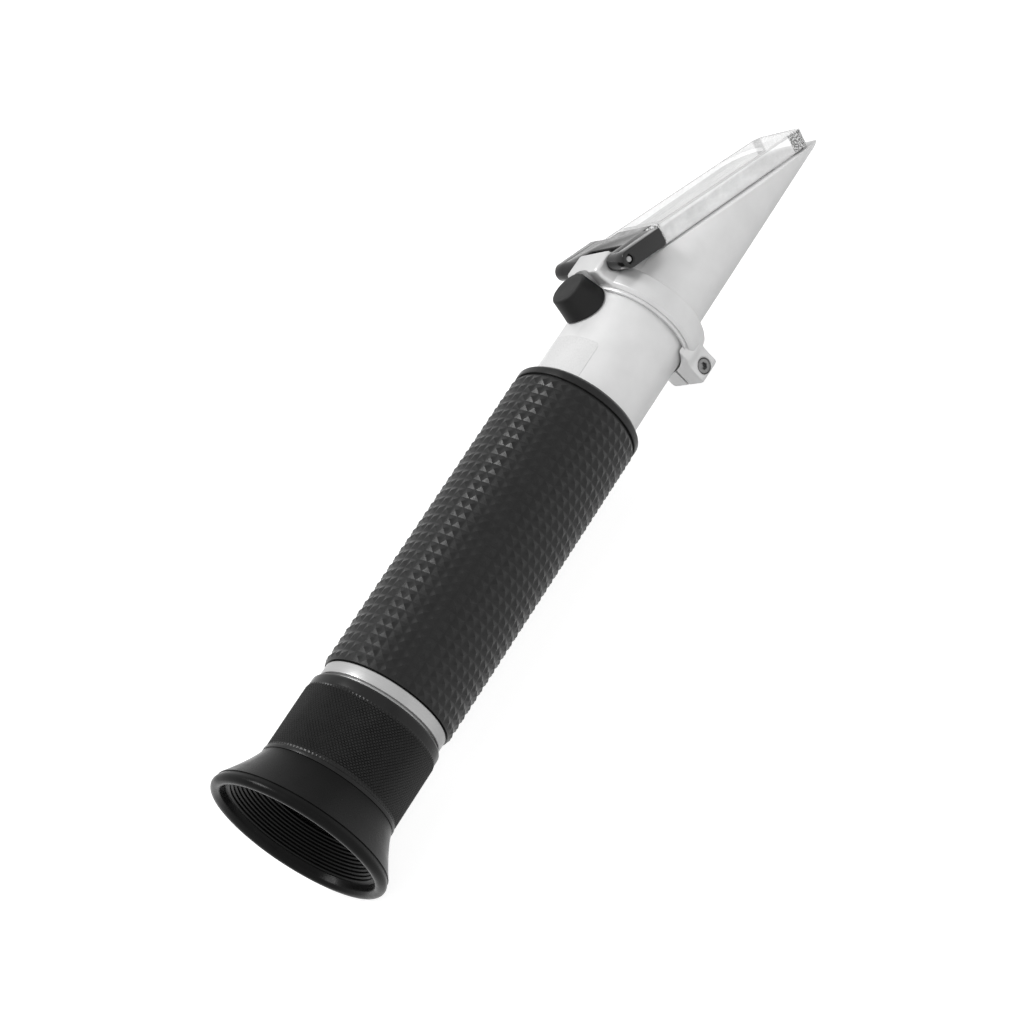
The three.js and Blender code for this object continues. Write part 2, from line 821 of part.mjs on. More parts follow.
// Prism head: a slanted tube end with a pocket for the measuring prism

function prismOutline(clearance) {
  const above = clearance > 0 ? OVERRUN : 0;
  const rear = prismRear - clearance;
  const front = prismFront + clearance;
  const heel = -prismHeel - clearance;
  const floor = -headRadius + prismFloorWall - clearance;
  return [
    [rear, slopeAt(rear) + above],
    [rear, heel],
    [prismRear + prismShoulder - clearance / 2, floor],
    [front, floor],
    [front, slopeAt(front) + above],
  ];
}

function prismBody() {
  const spigotBore = insertRadius - headSpigotWall;
  const rear = tubeFront + FIT;
  const turned = revolve([
    [tubeFront - headSpigotLength, spigotBore],
    [tubeFront - headSpigotLength, insertRadius],
    [rear, insertRadius],
    [rear, headRadius],
    [headTip - tipChamfer, headRadius],
    [headTip, headRadius - tipChamfer],
    [headTip, 0],
    [prismRear + OVERRUN, 0],
    [prismRear + OVERRUN, lightBore],
    [tubeFront + headBoreLength, lightBore],
    [tubeFront + headBoreLength, spigotBore],
  ], SIDES);
  const past = headTip + OVERRUN;
  const above = ringRadius + OVERRUN;
  const slant = [[tubeFront, slopeAt(tubeFront)], [past, slopeAt(past)], [past, above], [tubeFront, above]];
  const pocketHalf = prismHalfWidth + SEAT;
  return turned
    .subtract(plateXZ(slant, -ringRadius, ringRadius))
    .subtract(plateXZ(prismOutline(SEAT), -pocketHalf, pocketHalf));
}

const mainPrism = () => plateXZ(prismOutline(0), -prismHalfWidth, prismHalfWidth);

// Clamp ring: holds tube and head together, with the hinge block on top and ears below

const clampScrewStation = (earRear + earFront) / 2;
const clampScrewZ = -earBottom + clampScrewInset;

const acrossEars = (radius, y0, y1, sides) =>
  rod(radius, [clampScrewStation, y0, clampScrewZ], [clampScrewStation, y1, clampScrewZ], sides);

function ringBody() {
  const lipFront = ringRear + ringLip;
  return revolve([
    [ringRear, 0],
    [ringRear, tubeRadius + ringLipWall],
    [lipFront, tubeRadius + ringLipWall],
    [lipFront, ringRadius - ringChamfer],
    [lipFront + ringChamfer, ringRadius],
    [ringFront, ringRadius],
    [ringFront, 0],
  ], SIDES);
}

function hingeBlock() {
  const top = pinZ + blockTopAbovePin;
  const footLow = tubeRadius - blockFoot / 2;
  const footHigh = ringRadius + blockFoot / 2;
  const flare = blockHalfWidth + blockFoot;
  const edge = blockHalfWidth - blockChamfer;
  return plateYZ([
    [-flare, footLow],
    [flare, footLow],
    [blockHalfWidth, footHigh],
    [blockHalfWidth, top - blockChamfer],
    [edge, top],
    [-edge, top],
    [-blockHalfWidth, top - blockChamfer],
    [-blockHalfWidth, footHigh],
  ], blockRear, blockFront);
}

function clampEars() {
  const root = -tubeRadius / 2;
  return plateYZ([
    [-earNear, root],
    [-earNear, -earBottom + earCorner],
    [-earNear + earCorner, -earBottom],
    [earFar - earCorner, -earBottom],
    [earFar, -earBottom + earCorner],
    [earFar, root],
  ], earRear, earFront);
}

function clampRing() {
  const tubeCut = bar(earRear - OVERRUN, tubeFront + SEAT, ringBore, SIDES);
  const headCut = bar(tubeFront, blockFront + OVERRUN, headRadius + FIT, SIDES);
  const slitY = (earFar - earNear) / 2;
  const slit = block(
    [earRear - OVERRUN, slitY - earSlit / 2, -earBottom - OVERRUN],
    [ringFront + OVERRUN, slitY + earSlit / 2, -tubeRadius / 2],
  );
  const atPin = (y) => [pinStation, y, pinZ];
  const knuckleRoom = (side) => rod(
    knuckleRadius + SEAT,
    atPin(side * blockHalfWidth),
    atPin(side * (yokeHalfWidth + OVERRUN)),
    INNER_SIDES,
  );
  const capRoom = rod(capBaseRadius + SEAT, overScrew(0), overScrew(pinZ + OVERRUN), INNER_SIDES);
  const headSeat = -earNear + SEAT + clampHeadHeight;
  const nutSeat = earFar - SEAT - clampNutHeight;
  return ringBody()
    .add(hingeBlock())
    .add(clampEars())
    .subtract(tubeCut)
    .subtract(headCut)
    .subtract(slit)
    .subtract(knuckleRoom(1))
    .subtract(knuckleRoom(-1))
    .subtract(capRoom)
    .subtract(rod(pinRadius + RUN, atPin(-yokeHalfWidth), atPin(yokeHalfWidth)))
    .subtract(acrossEars(clampScrewRadius + FIT, -earNear - OVERRUN, earFar + OVERRUN))
    .subtract(acrossEars(clampHeadRadius + FIT, -earNear - OVERRUN, headSeat))
    .subtract(acrossEars(clampNutRadius + FIT, nutSeat, earFar + OVERRUN, HEX));
}

function clampScrew() {
  const headFace = -earNear + SEAT;
  const headSeat = headFace + clampHeadHeight - FIT;
  return acrossEars(clampHeadRadius, headFace, headSeat)
    .add(acrossEars(clampScrewRadius, headSeat, earFar - SEAT))
    .subtract(acrossEars(clampSocketRadius, headFace - OVERRUN, headFace + clampHeadHeight / 2, HEX));
}

function clampNut() {
  const nutFace = earFar - SEAT;
  const nutSeat = nutFace - clampNutHeight + FIT;
  return acrossEars(clampNutRadius, nutSeat, nutFace, HEX)
    .subtract(acrossEars(clampScrewRadius + FIT, nutSeat - OVERRUN, nutFace + OVERRUN));
}

const hingePin = () =>
  rod(pinRadius, [pinStation, SEAT - yokeHalfWidth, pinZ], [pinStation, yokeFar - SEAT, pinZ]);

// Cover assembly, in its own frame: origin on the hinge pin, local X down the slanted face

const cover = new THREE.Group();
cover.position.set(pinStation, 0, pinZ);
cover.rotation.y = cutAngle;
device.add(cover);

function hingeYoke() {
  const top = knuckleRadius;
  const corner = armCorner;
  const armOutline = new THREE.Shape();
  armOutline.moveTo(0, top);
  armOutline.lineTo(armFront - corner / 2, top);
  armOutline.lineTo(armFront, top - corner / 2);
  armOutline.lineTo(armFront, corner - top);
  armOutline.absarc(armFront - corner, corner - top, corner, 0, -Math.PI / 2, true);
  armOutline.lineTo(0, -top);
  const nearArm = plateXZ(armOutline, -yokeHalfWidth, -armInner);
  const farArm = plateXZ(armOutline, armInner + farReach, yokeFar);
  const knuckle = (y0, y1) => rod(knuckleRadius, [0, y0, 0], [0, y1, 0], INNER_SIDES);
  const web = plateXY([
    [notchFront, -notchHalfWidth],
    [0, -notchHalfWidth],
    [0, -yokeHalfWidth],
    [webFront, -yokeHalfWidth],
    [webFront, -tongueHalfWidth],
    [tongueFront, -tongueHalfWidth],
    [tongueFront, tongueHalfWidth],
    [webFront, tongueHalfWidth],
    [webFront, yokeFar],
    [0, yokeFar],
    [0, notchHalfWidth],
    [notchFront, notchHalfWidth],
  ], webLow, top);
  return web
    .add(nearArm)
    .add(farArm)
    .add(knuckle(-yokeHalfWidth, -notchHalfWidth))
    .add(knuckle(notchHalfWidth, yokeFar))
    .subtract(rod(pinRadius + RUN, [0, -yokeHalfWidth - OVERRUN, 0], [0, yokeFar + OVERRUN, 0]));
}

function coverPlate() {
  const low = -pinHeight + SEAT;
  const top = low + coverThickness;
  const step = webFront + SEAT;
  const ledge = webLow - SEAT;
  const half = coverHalfWidth;
  const windowRear = tongueFront + SEAT + windowInset;
  const plan = plateXY([
    [coverRear, -half],
    [coverFront - coverFrontChamfer, -half],
    [coverFront, -half + coverFrontChamfer],
    [coverFront, half - coverFrontChamfer],
    [coverFront - coverFrontChamfer, half],
    [coverRear, half],
  ], low, top + coverWedge);
  const side = plateXZ([
    [coverRear, low],
    [coverFront, low],
    [coverFront, top],
    [step, top + coverWedge],
    [step, ledge],
    [coverRear, ledge],
  ], -half, half);
  const tongueRoom = block(
    [webFront, -tongueHalfWidth - SEAT, ledge],
    [tongueFront + SEAT, tongueHalfWidth + SEAT, top + OVERRUN],
  );
  const windowHalf = half - coverWall;
  const windowShape = new THREE.Shape();
  windowShape.moveTo(windowRear, -windowHalf);
  windowShape.lineTo(windowFront - windowHalf, -windowHalf);
  windowShape.absarc(windowFront - windowHalf, 0, windowHalf, -Math.PI / 2, Math.PI / 2, false);
  windowShape.lineTo(windowRear, windowHalf);
  const window = plateXY(windowShape, low + coverFloor, top + OVERRUN, 2 * CORNER_STEPS);
  return plan.intersect(side).subtract(tongueRoom).subtract(window);
}

// Assembly

const objectiveBulge = (objectiveThickness - lensEdge) / 2;

add("eyecup", eyecup(), "cup");
add("focus_ring", focusRing(), "barrel");
add("eyepiece_tube", eyepieceTube(), "blackMetal");
add("focus_retainer", focusRetainer(), "blackMetal");
eyepieceGlass();
add("eyepiece_mount", eyepieceMount(), "band");
add("guide_pin", guidePinRod(guidePinRadius, 0), "steel");
add("focus_seal", focusSeal(), "cup");
add("main_tube", mainTube(), "tube");
add("grip_sleeve", gripSleeve(), "grip", device, STUD_CREASE);
holderWithGlass(reticleRear, reticleHolderLength, reticleThickness, 0, [
  "reticle_holder",
  "reticle",
  "reticle_lock_ring",
]);
add("light_baffle", lightBaffle(), "blackMetal");
holderWithGlass(objectiveRear, objectiveLength, objectiveThickness, objectiveBulge, [
  "objective_cell",
  "objective_lens",
  "objective_lock_ring",
]);
add("compensator_cell", compensatorCell(), "blackMetal");
add("wedge_carrier", wedgeCarrier(), "blackMetal");
add("wedge_prism", wedgePrism(), "glass");
add("pivot_pin_near", pivotRod(pivotRadius, -1, 0, 0), "steel");
add("pivot_pin_far", pivotRod(pivotRadius, 1, 0, 0), "steel");
add("bimetal_strip", bimetalStrip(), "bimetal");
add("strip_screw", stripScrew(), "steel");
add("calibration_bush", calibrationBush(), "brass");
add("calibration_screw", calibrationScrew(), "brass");
add("calibration_cap", calibrationCap(), "cap");
add("prism_body", prismBody(), "tube");
add("main_prism", mainPrism(), "glass");
add("clamp_ring", clampRing(), "ring");
add("clamp_screw", clampScrew(), "steel");
add("clamp_nut", clampNut(), "steel");
add("hinge_pin", hingePin(), "steel");
add("hinge_yoke", hingeYoke(), "yoke", cover);
add("cover_plate", coverPlate(), "clear", cover);

device.position.set(-originX, 0, -originZ);

export default device;
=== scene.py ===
import json
import math

import bmesh
import bpy
import numpy as np
from mathutils import Euler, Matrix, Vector


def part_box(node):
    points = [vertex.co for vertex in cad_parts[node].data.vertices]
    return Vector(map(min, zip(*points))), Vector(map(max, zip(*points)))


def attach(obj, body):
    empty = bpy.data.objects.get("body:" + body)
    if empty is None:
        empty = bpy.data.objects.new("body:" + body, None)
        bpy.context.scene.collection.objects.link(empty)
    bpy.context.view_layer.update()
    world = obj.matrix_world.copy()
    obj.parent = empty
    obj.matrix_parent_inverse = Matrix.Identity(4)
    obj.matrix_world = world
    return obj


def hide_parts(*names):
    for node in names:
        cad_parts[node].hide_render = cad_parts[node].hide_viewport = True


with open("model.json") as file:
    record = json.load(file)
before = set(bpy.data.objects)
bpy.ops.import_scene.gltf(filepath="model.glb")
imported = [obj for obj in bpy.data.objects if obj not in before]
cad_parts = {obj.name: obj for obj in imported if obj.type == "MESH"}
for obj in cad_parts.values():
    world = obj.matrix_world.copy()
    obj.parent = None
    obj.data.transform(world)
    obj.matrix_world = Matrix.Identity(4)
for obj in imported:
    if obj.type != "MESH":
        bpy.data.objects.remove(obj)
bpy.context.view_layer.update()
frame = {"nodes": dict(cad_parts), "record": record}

# General sizes, in metres

MM = 0.001
ROUND = 160  # facets round the large turned pieces
SMALL_ROUND = 64  # facets round screws, pins and the cap
OVERRUN = 5 * MM  # how far a cutting shape reaches past the face that it cuts
SOFT_EDGE = 0.12 * MM  # usual rounding of a machined edge
RIM_STEPS = 4  # facets across a rounded rim
NEAR = 0.05 * MM  # corners closer than this lie at the same station or radius
CUT_GAP = 0.1 * MM  # room between a turned piece and the bore that it sits in
SEAT_GAP = 0.3 * MM  # room between pieces that meet face to face


def lowest(node):
    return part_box(node)[0]


def highest(node):
    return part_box(node)[1]


def middle_of(node):
    low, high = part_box(node)
    return (low + high) / 2


def ends_of(node):
    """Rear and front station of a node."""
    low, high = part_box(node)
    return low.x, high.x


def half_width(node):
    """Half of a node's length along the axis: the radius of one that stands upright or lies across."""
    rear, front = ends_of(node)
    return (front - rear) / 2


AXIS = (lowest("main_tube").z + highest("main_tube").z) / 2  # height of the optical axis


def corners_of(node):
    mesh = frame["nodes"][node].data
    found = np.zeros(len(mesh.vertices) * 3)
    mesh.vertices.foreach_get("co", found)
    return found.reshape(-1, 3)


def radii_of(node, start=-1.0, end=1.0):
    """Least and greatest distance from the optical axis of a node's corners, between two stations."""
    points = corners_of(node)
    points = points[(points[:, 0] > start - NEAR) & (points[:, 0] < end + NEAR)]
    away = np.hypot(points[:, 1], points[:, 2] - AXIS)
    return float(away.min()), float(away.max())


def stations_at(node, radius):
    """First and last station at which a node has a corner of this radius."""
    points = corners_of(node)
    away = np.hypot(points[:, 1], points[:, 2] - AXIS)
    found = points[abs(away - radius) < NEAR][:, 0]
    return float(found.min()), float(found.max())


# Hinge frame: u runs down the slanted face from the hinge pin, w stands off that face


def slanted_face():
    """Slope of the slanted face, and one point on it."""
    prism = corners_of("main_prism")
    front, rear = prism[:, 0].max(), prism[:, 0].min()
    front_top = prism[prism[:, 0] > front - NEAR][:, 2].max()
    rear_top = prism[prism[:, 0] < rear + NEAR][:, 2].max()
    return (rear_top - front_top) / (front - rear), front, front_top


SLOPE, SLOPE_X, SLOPE_Z = slanted_face()
CUT_ANGLE = math.atan(SLOPE)
PIN = middle_of("hinge_pin")
ALONG = Vector((math.cos(CUT_ANGLE), 0, -math.sin(CUT_ANGLE)))
OFF = Vector((math.sin(CUT_ANGLE), 0, math.cos(CUT_ANGLE)))


def face_height(x):
    return SLOPE_Z + (SLOPE_X - x) * SLOPE


def at_hinge(u, y, w):
    return tuple(Vector((PIN.x, y, PIN.z)) + ALONG * u + OFF * w)


# Shader helpers


def grey(level):
    return level, level, level, 1


def shade(colour, share):
    return (*[part * share for part in colour[:3]], 1)


def feed(tree, target, inputs):
    """Fills a node's inputs: a socket is linked, and a plain value is set."""
    for place, value in inputs.items():
        if isinstance(value, bpy.types.NodeSocket):
            tree.links.new(value, target.inputs[place])
        else:
            target.inputs[place].default_value = value


def add_node(tree, kind, inputs=None, **settings):
    made = tree.nodes.new("ShaderNode" + kind)
    for name, value in settings.items():
        setattr(made, name, value)
    feed(tree, made, inputs or {})
    return made


def calculate(tree, operation, *values):
    return add_node(tree, "Math", dict(enumerate(values)), operation=operation).outputs[0]


def new_material(name):
    material = bpy.data.materials.new(name)
    material.use_nodes = True
    tree = material.node_tree
    return material, tree, tree.nodes["Principled BSDF"]


def place_vector(tree, stretch=(1, 1, 1)):
    """The surface point in the piece's own frame, in millimetres, stretched along its axes."""
    place = add_node(tree, "TexCoord").outputs["Object"]
    scale = [share / MM for share in stretch]
    return add_node(tree, "VectorMath", {0: place, 1: scale}, operation="MULTIPLY").outputs[0]


def turned_vector(tree, along, around):
    """Distance along the tube and direction round it: marks drawn with it follow the turning."""
    place = add_node(tree, "TexCoord").outputs["Object"]
    split = add_node(tree, "SeparateXYZ", {0: place}).outputs
    lift = calculate(tree, "SUBTRACT", split["Z"], AXIS)
    spoke = add_node(tree, "CombineXYZ", {"Y": split["Y"], "Z": lift}).outputs[0]
    unit = add_node(tree, "VectorMath", {0: spoke}, operation="NORMALIZE").outputs[0]
    reach = add_node(tree, "VectorMath", {0: unit, "Scale": around}, operation="SCALE").outputs[0]
    station = calculate(tree, "MULTIPLY", split["X"], along / MM)
    shift = add_node(tree, "CombineXYZ", {"X": station}).outputs[0]
    return add_node(tree, "VectorMath", {0: reach, 1: shift}, operation="ADD").outputs[0]


def hinge_place(tree):
    """The surface point's distance down the slanted face from the hinge pin, and across, in millimetres."""
    place = place_vector(tree)
    down = add_node(tree, "VectorMath", {0: place, 1: ALONG}, operation="DOT_PRODUCT").outputs["Value"]
    across = add_node(tree, "SeparateXYZ", {0: place}).outputs["Y"]
    return calculate(tree, "SUBTRACT", down, PIN.dot(ALONG) / MM), across


def noise(tree, vector, scale, detail=4.0, rough=0.6):
    inputs = {"Vector": vector, "Scale": scale, "Detail": detail, "Roughness": rough}
    return add_node(tree, "TexNoise", inputs).outputs["Fac"]


def spread(tree, value, low, high, start=0.3, end=0.7):
    """Maps start to end onto low to high. A noise lies mostly between 0.3 and 0.7."""
    inputs = {"Value": value, "From Min": start, "From Max": end, "To Min": low, "To Max": high}
    return add_node(tree, "MapRange", inputs).outputs["Result"]


def within(tree, value, low, high):
    """One where a value lies between two limits, else nought."""
    return calculate(tree, "COMPARE", value, (low + high) / 2, (high - low) / 2)


def mixed(tree, factor, first, second):
    """The first colour where the factor is nought, and the second where it is one."""
    inputs = {"Factor": factor, "A": first, "B": second}
    return add_node(tree, "Mix", inputs, data_type="RGBA").outputs["Result"]


def bump(tree, height, distance, strength=0.5):
    inputs = {"Height": height, "Distance": distance, "Strength": strength}
    return add_node(tree, "Bump", inputs).outputs["Normal"]


# Materials


def satin_metal(name, light, rough, lathed=True, grain=0.006 * MM, metallic=1.0):
    """Anodised or blasted aluminium: fine grain, faint lathe marks and slow stains."""
    material, tree, shader = new_material(name)
    place = place_vector(tree)
    height = noise(tree, place, scale=9.0, detail=3.0, rough=0.7)
    if lathed:
        marks = noise(tree, turned_vector(tree, along=14.0, around=0.6), scale=1.0, detail=3.0)
        height = calculate(tree, "MULTIPLY_ADD", marks, 0.9, height)
    stains = noise(tree, place, scale=0.22, detail=3.0, rough=0.5)
    feed(tree, shader, {
        "Metallic": metallic,
        "Base Color": mixed(tree, spread(tree, stains, 0, 1), shade(light, 0.94), light),
        "Roughness": spread(tree, height, rough - 0.04, rough + 0.05),
        "Normal": bump(tree, height, grain),
    })
    return material


def brushed_metal(name, light, rough, metallic=1.0):
    """Turned bright metal, with tool marks that run round the tube."""
    material, tree, shader = new_material(name)
    marks = noise(tree, turned_vector(tree, along=22.0, around=0.35), scale=1.0, rough=0.7)
    feed(tree, shader, {
        "Metallic": metallic,
        "Base Color": mixed(tree, spread(tree, marks, 0, 1), shade(light, 0.8), light),
        "Roughness": spread(tree, marks, rough - 0.08, rough + 0.1),
        "Normal": bump(tree, marks, 0.01 * MM, 0.6),
    })
    return material


def moulded(name, dark, light, rough, scale=6.0, grain=0.012 * MM, worn=0.0, sheen=0.3):
    """Black rubber or plastic from a mould: fine grain, cloudy gloss and, where worn, paler edges."""
    material, tree, shader = new_material(name)
    place = place_vector(tree)
    grains = noise(tree, place, scale, rough=0.65)
    cloud = noise(tree, place, scale=0.35, detail=3.0, rough=0.55)
    colour = mixed(tree, spread(tree, cloud, 0, 1), grey(dark), grey(light))
    if worn > 0:
        edges = add_node(tree, "NewGeometry").outputs["Pointiness"]
        colour = mixed(tree, spread(tree, edges, 0, worn, 0.52, 0.62), colour, grey(4 * light))
    feed(tree, shader, {
        "Base Color": colour,
        "Roughness": spread(tree, cloud, rough - 0.06, rough + 0.06),
        "Specular IOR Level": sheen,
        "Normal": bump(tree, grains, grain),
    })
    return material


def polished(name, tint, rough, ior):
    """Glass with a trace of haze."""
    material, tree, shader = new_material(name)
    haze = noise(tree, place_vector(tree), scale=1.2)
    feed(tree, shader, {
        "Base Color": tint,
        "Transmission Weight": 1.0,
        "IOR": ior,
        "Roughness": spread(tree, haze, rough, rough + 0.02),
        "Normal": bump(tree, haze, 0.002 * MM, 0.3),
    })
    return material


EDGE_FACES = "edge_faces"  # marks the narrow rounded faces of the cover
TOP_FACES = "top_faces"  # marks the faces that lie along the slanted face
WINDOW_SPAN = (14.0, 48.4)  # in millimetres down the face from the pin
WINDOW_SIDE = 6.35  # in millimetres, as are the frosted patches
FROST_SPANS = ((51.3, 56.6), (9.6, 12.2))
FROST_SIDES = (-11.4, -5.7)
# The walls are painted far paler than the top faces: painted light, set by face direction.
WALL_PAINTED_PALE, TOP_GREY, WINDOW_GREY, RIM_GREY = 0.95, 0.2, 0.18, 0.16
# Painted glow: the walls and rims shine with no lamp, as painted light.
WALL_PAINTED_GLOW = 0.3


def clear_sheet(name):
    """Clear plastic with a moulded skin that has thin streaks along it, greyer rims, a greyer sunk window and
    frosted patches at its near corners. Its walls are painted whiter than its top faces, and its walls and
    rims glow with no lamp: painted light that makes the plate's sides look lit."""
    material, tree, shader = new_material(name)
    place = place_vector(tree)
    streaks = noise(tree, place_vector(tree, (0.1, 1, 0.1)), scale=1.6)
    haze = noise(tree, place, scale=0.5, detail=3.0, rough=0.5)
    speckle = spread(tree, noise(tree, place, scale=2.6, detail=3.0, rough=0.7), 0.12, 0.85, 0.46, 0.54)
    rim = add_node(tree, "Attribute", attribute_name=EDGE_FACES).outputs["Fac"]
    top = add_node(tree, "Attribute", attribute_name=TOP_FACES).outputs["Fac"]

    down, across = hinge_place(tree)
    window_across = within(tree, across, -WINDOW_SIDE, WINDOW_SIDE)
    window = calculate(tree, "MULTIPLY", within(tree, down, *WINDOW_SPAN), window_across)
    corner = calculate(tree, "MAXIMUM", *[within(tree, down, *span) for span in FROST_SPANS])
    frost = calculate(tree, "MULTIPLY", corner, within(tree, across, *FROST_SIDES))

    # Painted light: the walls are paler than the top faces.
    colour = mixed(tree, top, grey(WALL_PAINTED_PALE), grey(TOP_GREY))
    colour = mixed(tree, calculate(tree, "MULTIPLY", window, top), colour, grey(WINDOW_GREY))
    colour = mixed(tree, rim, colour, grey(RIM_GREY))
    colour = mixed(tree, frost, colour, speckle)
    solid = calculate(tree, "MAXIMUM", rim, frost)
    unglowing = calculate(tree, "MAXIMUM", top, frost)
    feed(tree, shader, {
        "Base Color": colour,
        "IOR": 1.49,
        "Roughness": spread(tree, haze, 0.06, 0.16),
        # Painted glow on the walls and rims, where there is no lamp.
        "Emission Color": grey(1),
        "Emission Strength": spread(tree, unglowing, WALL_PAINTED_GLOW, 0, 0, 1),
        "Alpha": calculate(tree, "MAXIMUM", solid, spread(tree, streaks, 0.36, 0.56)),
        "Normal": bump(tree, streaks, 0.02 * MM, 0.4),
    })
    return material


LOOKS = {
    "tube_metal": satin_metal("satin_tube", grey(0.74), 0.42, metallic=0.3),
    "film": satin_metal("bare_film", grey(0.7), 0.28, lathed=False, grain=0.002 * MM, metallic=0.2),
    "ring_metal": satin_metal("blasted_ring", grey(0.66), 0.36, lathed=False, grain=0.01 * MM, metallic=0.4),
    "band_metal": brushed_metal("turned_band", grey(0.46), 0.34, metallic=0.45),
    "steel": brushed_metal("bright_steel", grey(0.3), 0.28),
    # A darker copy of bright steel: painted shade for the clamp screw in its counterbore.
    "shade_darkened_steel": brushed_metal("shade_darkened_steel", grey(0.2), 0.25),
    "brass": brushed_metal("turned_brass", (0.72, 0.55, 0.28, 1), 0.3),
    "bimetal": satin_metal("rolled_strip", (0.6, 0.5, 0.36, 1), 0.35, lathed=False),
    "black_metal": moulded("black_anodised", 0.008, 0.012, 0.42, scale=12.0, grain=0.004 * MM),
    "grip_rubber": moulded(
        "grip_rubber", 0.006, 0.01, 0.34, scale=5.0, grain=0.02 * MM, worn=0.25, sheen=0.26
    ),
    "barrel_plastic": moulded(
        "barrel_plastic", 0.006, 0.009, 0.3, scale=8.0, grain=0.01 * MM, worn=0.2, sheen=0.22
    ),
    "eyecup_rubber": moulded("eyecup_rubber", 0.003, 0.005, 0.28, scale=3.0, grain=0.004 * MM, sheen=0.1),
    "seal_rubber": moulded("seal_rubber", 0.012, 0.02, 0.5),
    "cap_rubber": moulded("cap_rubber", 0.008, 0.012, 0.5, scale=7.0, grain=0.015 * MM, sheen=0.2),
    "yoke_plastic": moulded(
        "yoke_plastic", 0.007, 0.011, 0.2, scale=7.0, grain=0.004 * MM, worn=0.1, sheen=0.35
    ),
    "optical_glass": polished("optical_glass", (0.9, 0.93, 0.94, 1), 0.02, 1.52),
    "clear_plastic": clear_sheet("clear_cover"),
}

# Mesh helpers


def into_scene(name, data):
    made = bpy.data.objects.new(name, data)
    bpy.context.scene.collection.objects.link(made)
    return made


def new_object(name, verts, faces):
    mesh = bpy.data.meshes.new(name)
    mesh.from_pydata([tuple(vert) for vert in verts], [], faces)
    return into_scene(name, mesh)


def tidy_normals(piece):
    shape = bmesh.new()
    shape.from_mesh(piece.data)
    bmesh.ops.remove_doubles(shape, verts=shape.verts, dist=1e-7)
    bmesh.ops.recalc_face_normals(shape, faces=shape.faces)
    shape.to_mesh(piece.data)
    shape.free()


def finish_piece(piece, body, slot, *nodes, sharp=32, look=None):
    """Smooths the piece except along its sharp edges, gives it its finish and ties it to its body."""
    tidy_normals(piece)
    piece.data.shade_smooth()
    piece.data.set_sharp_from_angle(angle=math.radians(sharp))
    piece.data.materials.clear()
    piece.data.materials.append(look or LOOKS[slot])
    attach(piece, body)
    if nodes:
        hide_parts(*nodes)


def apply_modifiers(piece):
    bpy.context.view_layer.update()
    graph = bpy.context.evaluated_depsgraph_get()
    mesh = bpy.data.meshes.new_from_object(piece.evaluated_get(graph))
    piece.modifiers.clear()
    piece.data = mesh


def bevelled(piece, width, segments, angle):
    """Rounds the edges that turn by more than an angle in degrees."""
    step = piece.modifiers.new("edge", "BEVEL")
    step.width = width
    step.segments = segments
    step.limit_method = "ANGLE"
    step.angle_limit = math.radians(angle)
    step.use_clamp_overlap = True
    apply_modifiers(piece)


def combine(base, operation, tools):
    """Joins each tool to base or cuts it away, and removes it."""
    for tool in tools:
        step = base.modifiers.new("combine", "BOOLEAN")
        step.operation = operation
        step.object = tool
        step.solver = "EXACT"
        apply_modifiers(base)
        bpy.data.objects.remove(tool)


def join(base, *tools):
    combine(base, "UNION", tools)


def cut(base, *tools):
    combine(base, "DIFFERENCE", tools)


def softened(outline, steps=4):
    """Rounds each corner of a closed outline by the third number that it carries."""
    points = []
    count = len(outline)
    for i, (a, b, soft) in enumerate(outline):
        if soft <= 0:
            points.append((a, b))
            continue
        here = Vector((a, b))
        back = Vector(outline[i - 1][:2]) - here
        ahead = Vector(outline[(i + 1) % count][:2]) - here
        start = here + back.normalized() * min(soft, back.length * 0.45)
        end = here + ahead.normalized() * min(soft, ahead.length * 0.45)
        for k in range(steps + 1):
            t = k / steps
            point = start * (1 - t) ** 2 + here * (2 * t * (1 - t)) + end * t**2
            points.append((point.x, point.y))
    return points


def arc(centre, radius, start, end, steps=10):
    """Points of a round corner, from one angle in degrees to another."""
    turns = [math.radians(start + (end - start) * k / steps) for k in range(steps + 1)]
    return [(centre[0] + radius * math.cos(turn), centre[1] + radius * math.sin(turn)) for turn in turns]


def about_axis(x, r, angle):
    """The point at a station, a distance from the optical axis and an angle round it from the top."""
    return x, -r * math.sin(angle), AXIS + r * math.cos(angle)


def turned(name, outline):
    """A closed outline of stations and radii, turned about the optical axis."""
    count = len(outline)
    verts, faces = [], []
    for i in range(ROUND):
        verts += [about_axis(x, r, 2 * math.pi * i / ROUND) for x, r in outline]
        nxt = (i + 1) % ROUND
        for k in range(count):
            up = (k + 1) % count
            faces.append((i * count + k, i * count + up, nxt * count + up, nxt * count + k))
    return new_object(name, verts, faces)


def ringed(name, rings, diagonal):
    """A closed surface through rings of corners. For a row and column, diagonal tells how the face there
    is divided: from its first corner (True), from its second (False) or not at all (None)."""
    count = len(rings[0])
    faces = []
    for row in range(len(rings)):
        low, high = row * count, (row + 1) % len(rings) * count
        for i in range(count):
            nxt = (i + 1) % count
            a, b, c, d = low + i, low + nxt, high + nxt, high + i
            way = diagonal(row, i)
            if way is None:
                faces.append((a, b, c, d))
            elif way:
                faces += [(a, b, c), (a, c, d)]
            else:
                faces += [(a, b, d), (b, c, d)]
    return new_object(name, [corner for ring in rings for corner in ring], faces)


def extruded(name, outline, low, high, basis):
    """An outline pushed from low to high along the third axis of basis, a function of (a, b, depth)."""
    count = len(outline)
    verts = [basis(a, b, low) for a, b in outline] + [basis(a, b, high) for a, b in outline]
    faces = [tuple(range(count)), tuple(range(count, 2 * count))]
    for k in range(count):
        up = (k + 1) % count
        faces.append((k, up, count + up, count + k))
    made = new_object(name, verts, faces)
    tidy_normals(made)
    return made


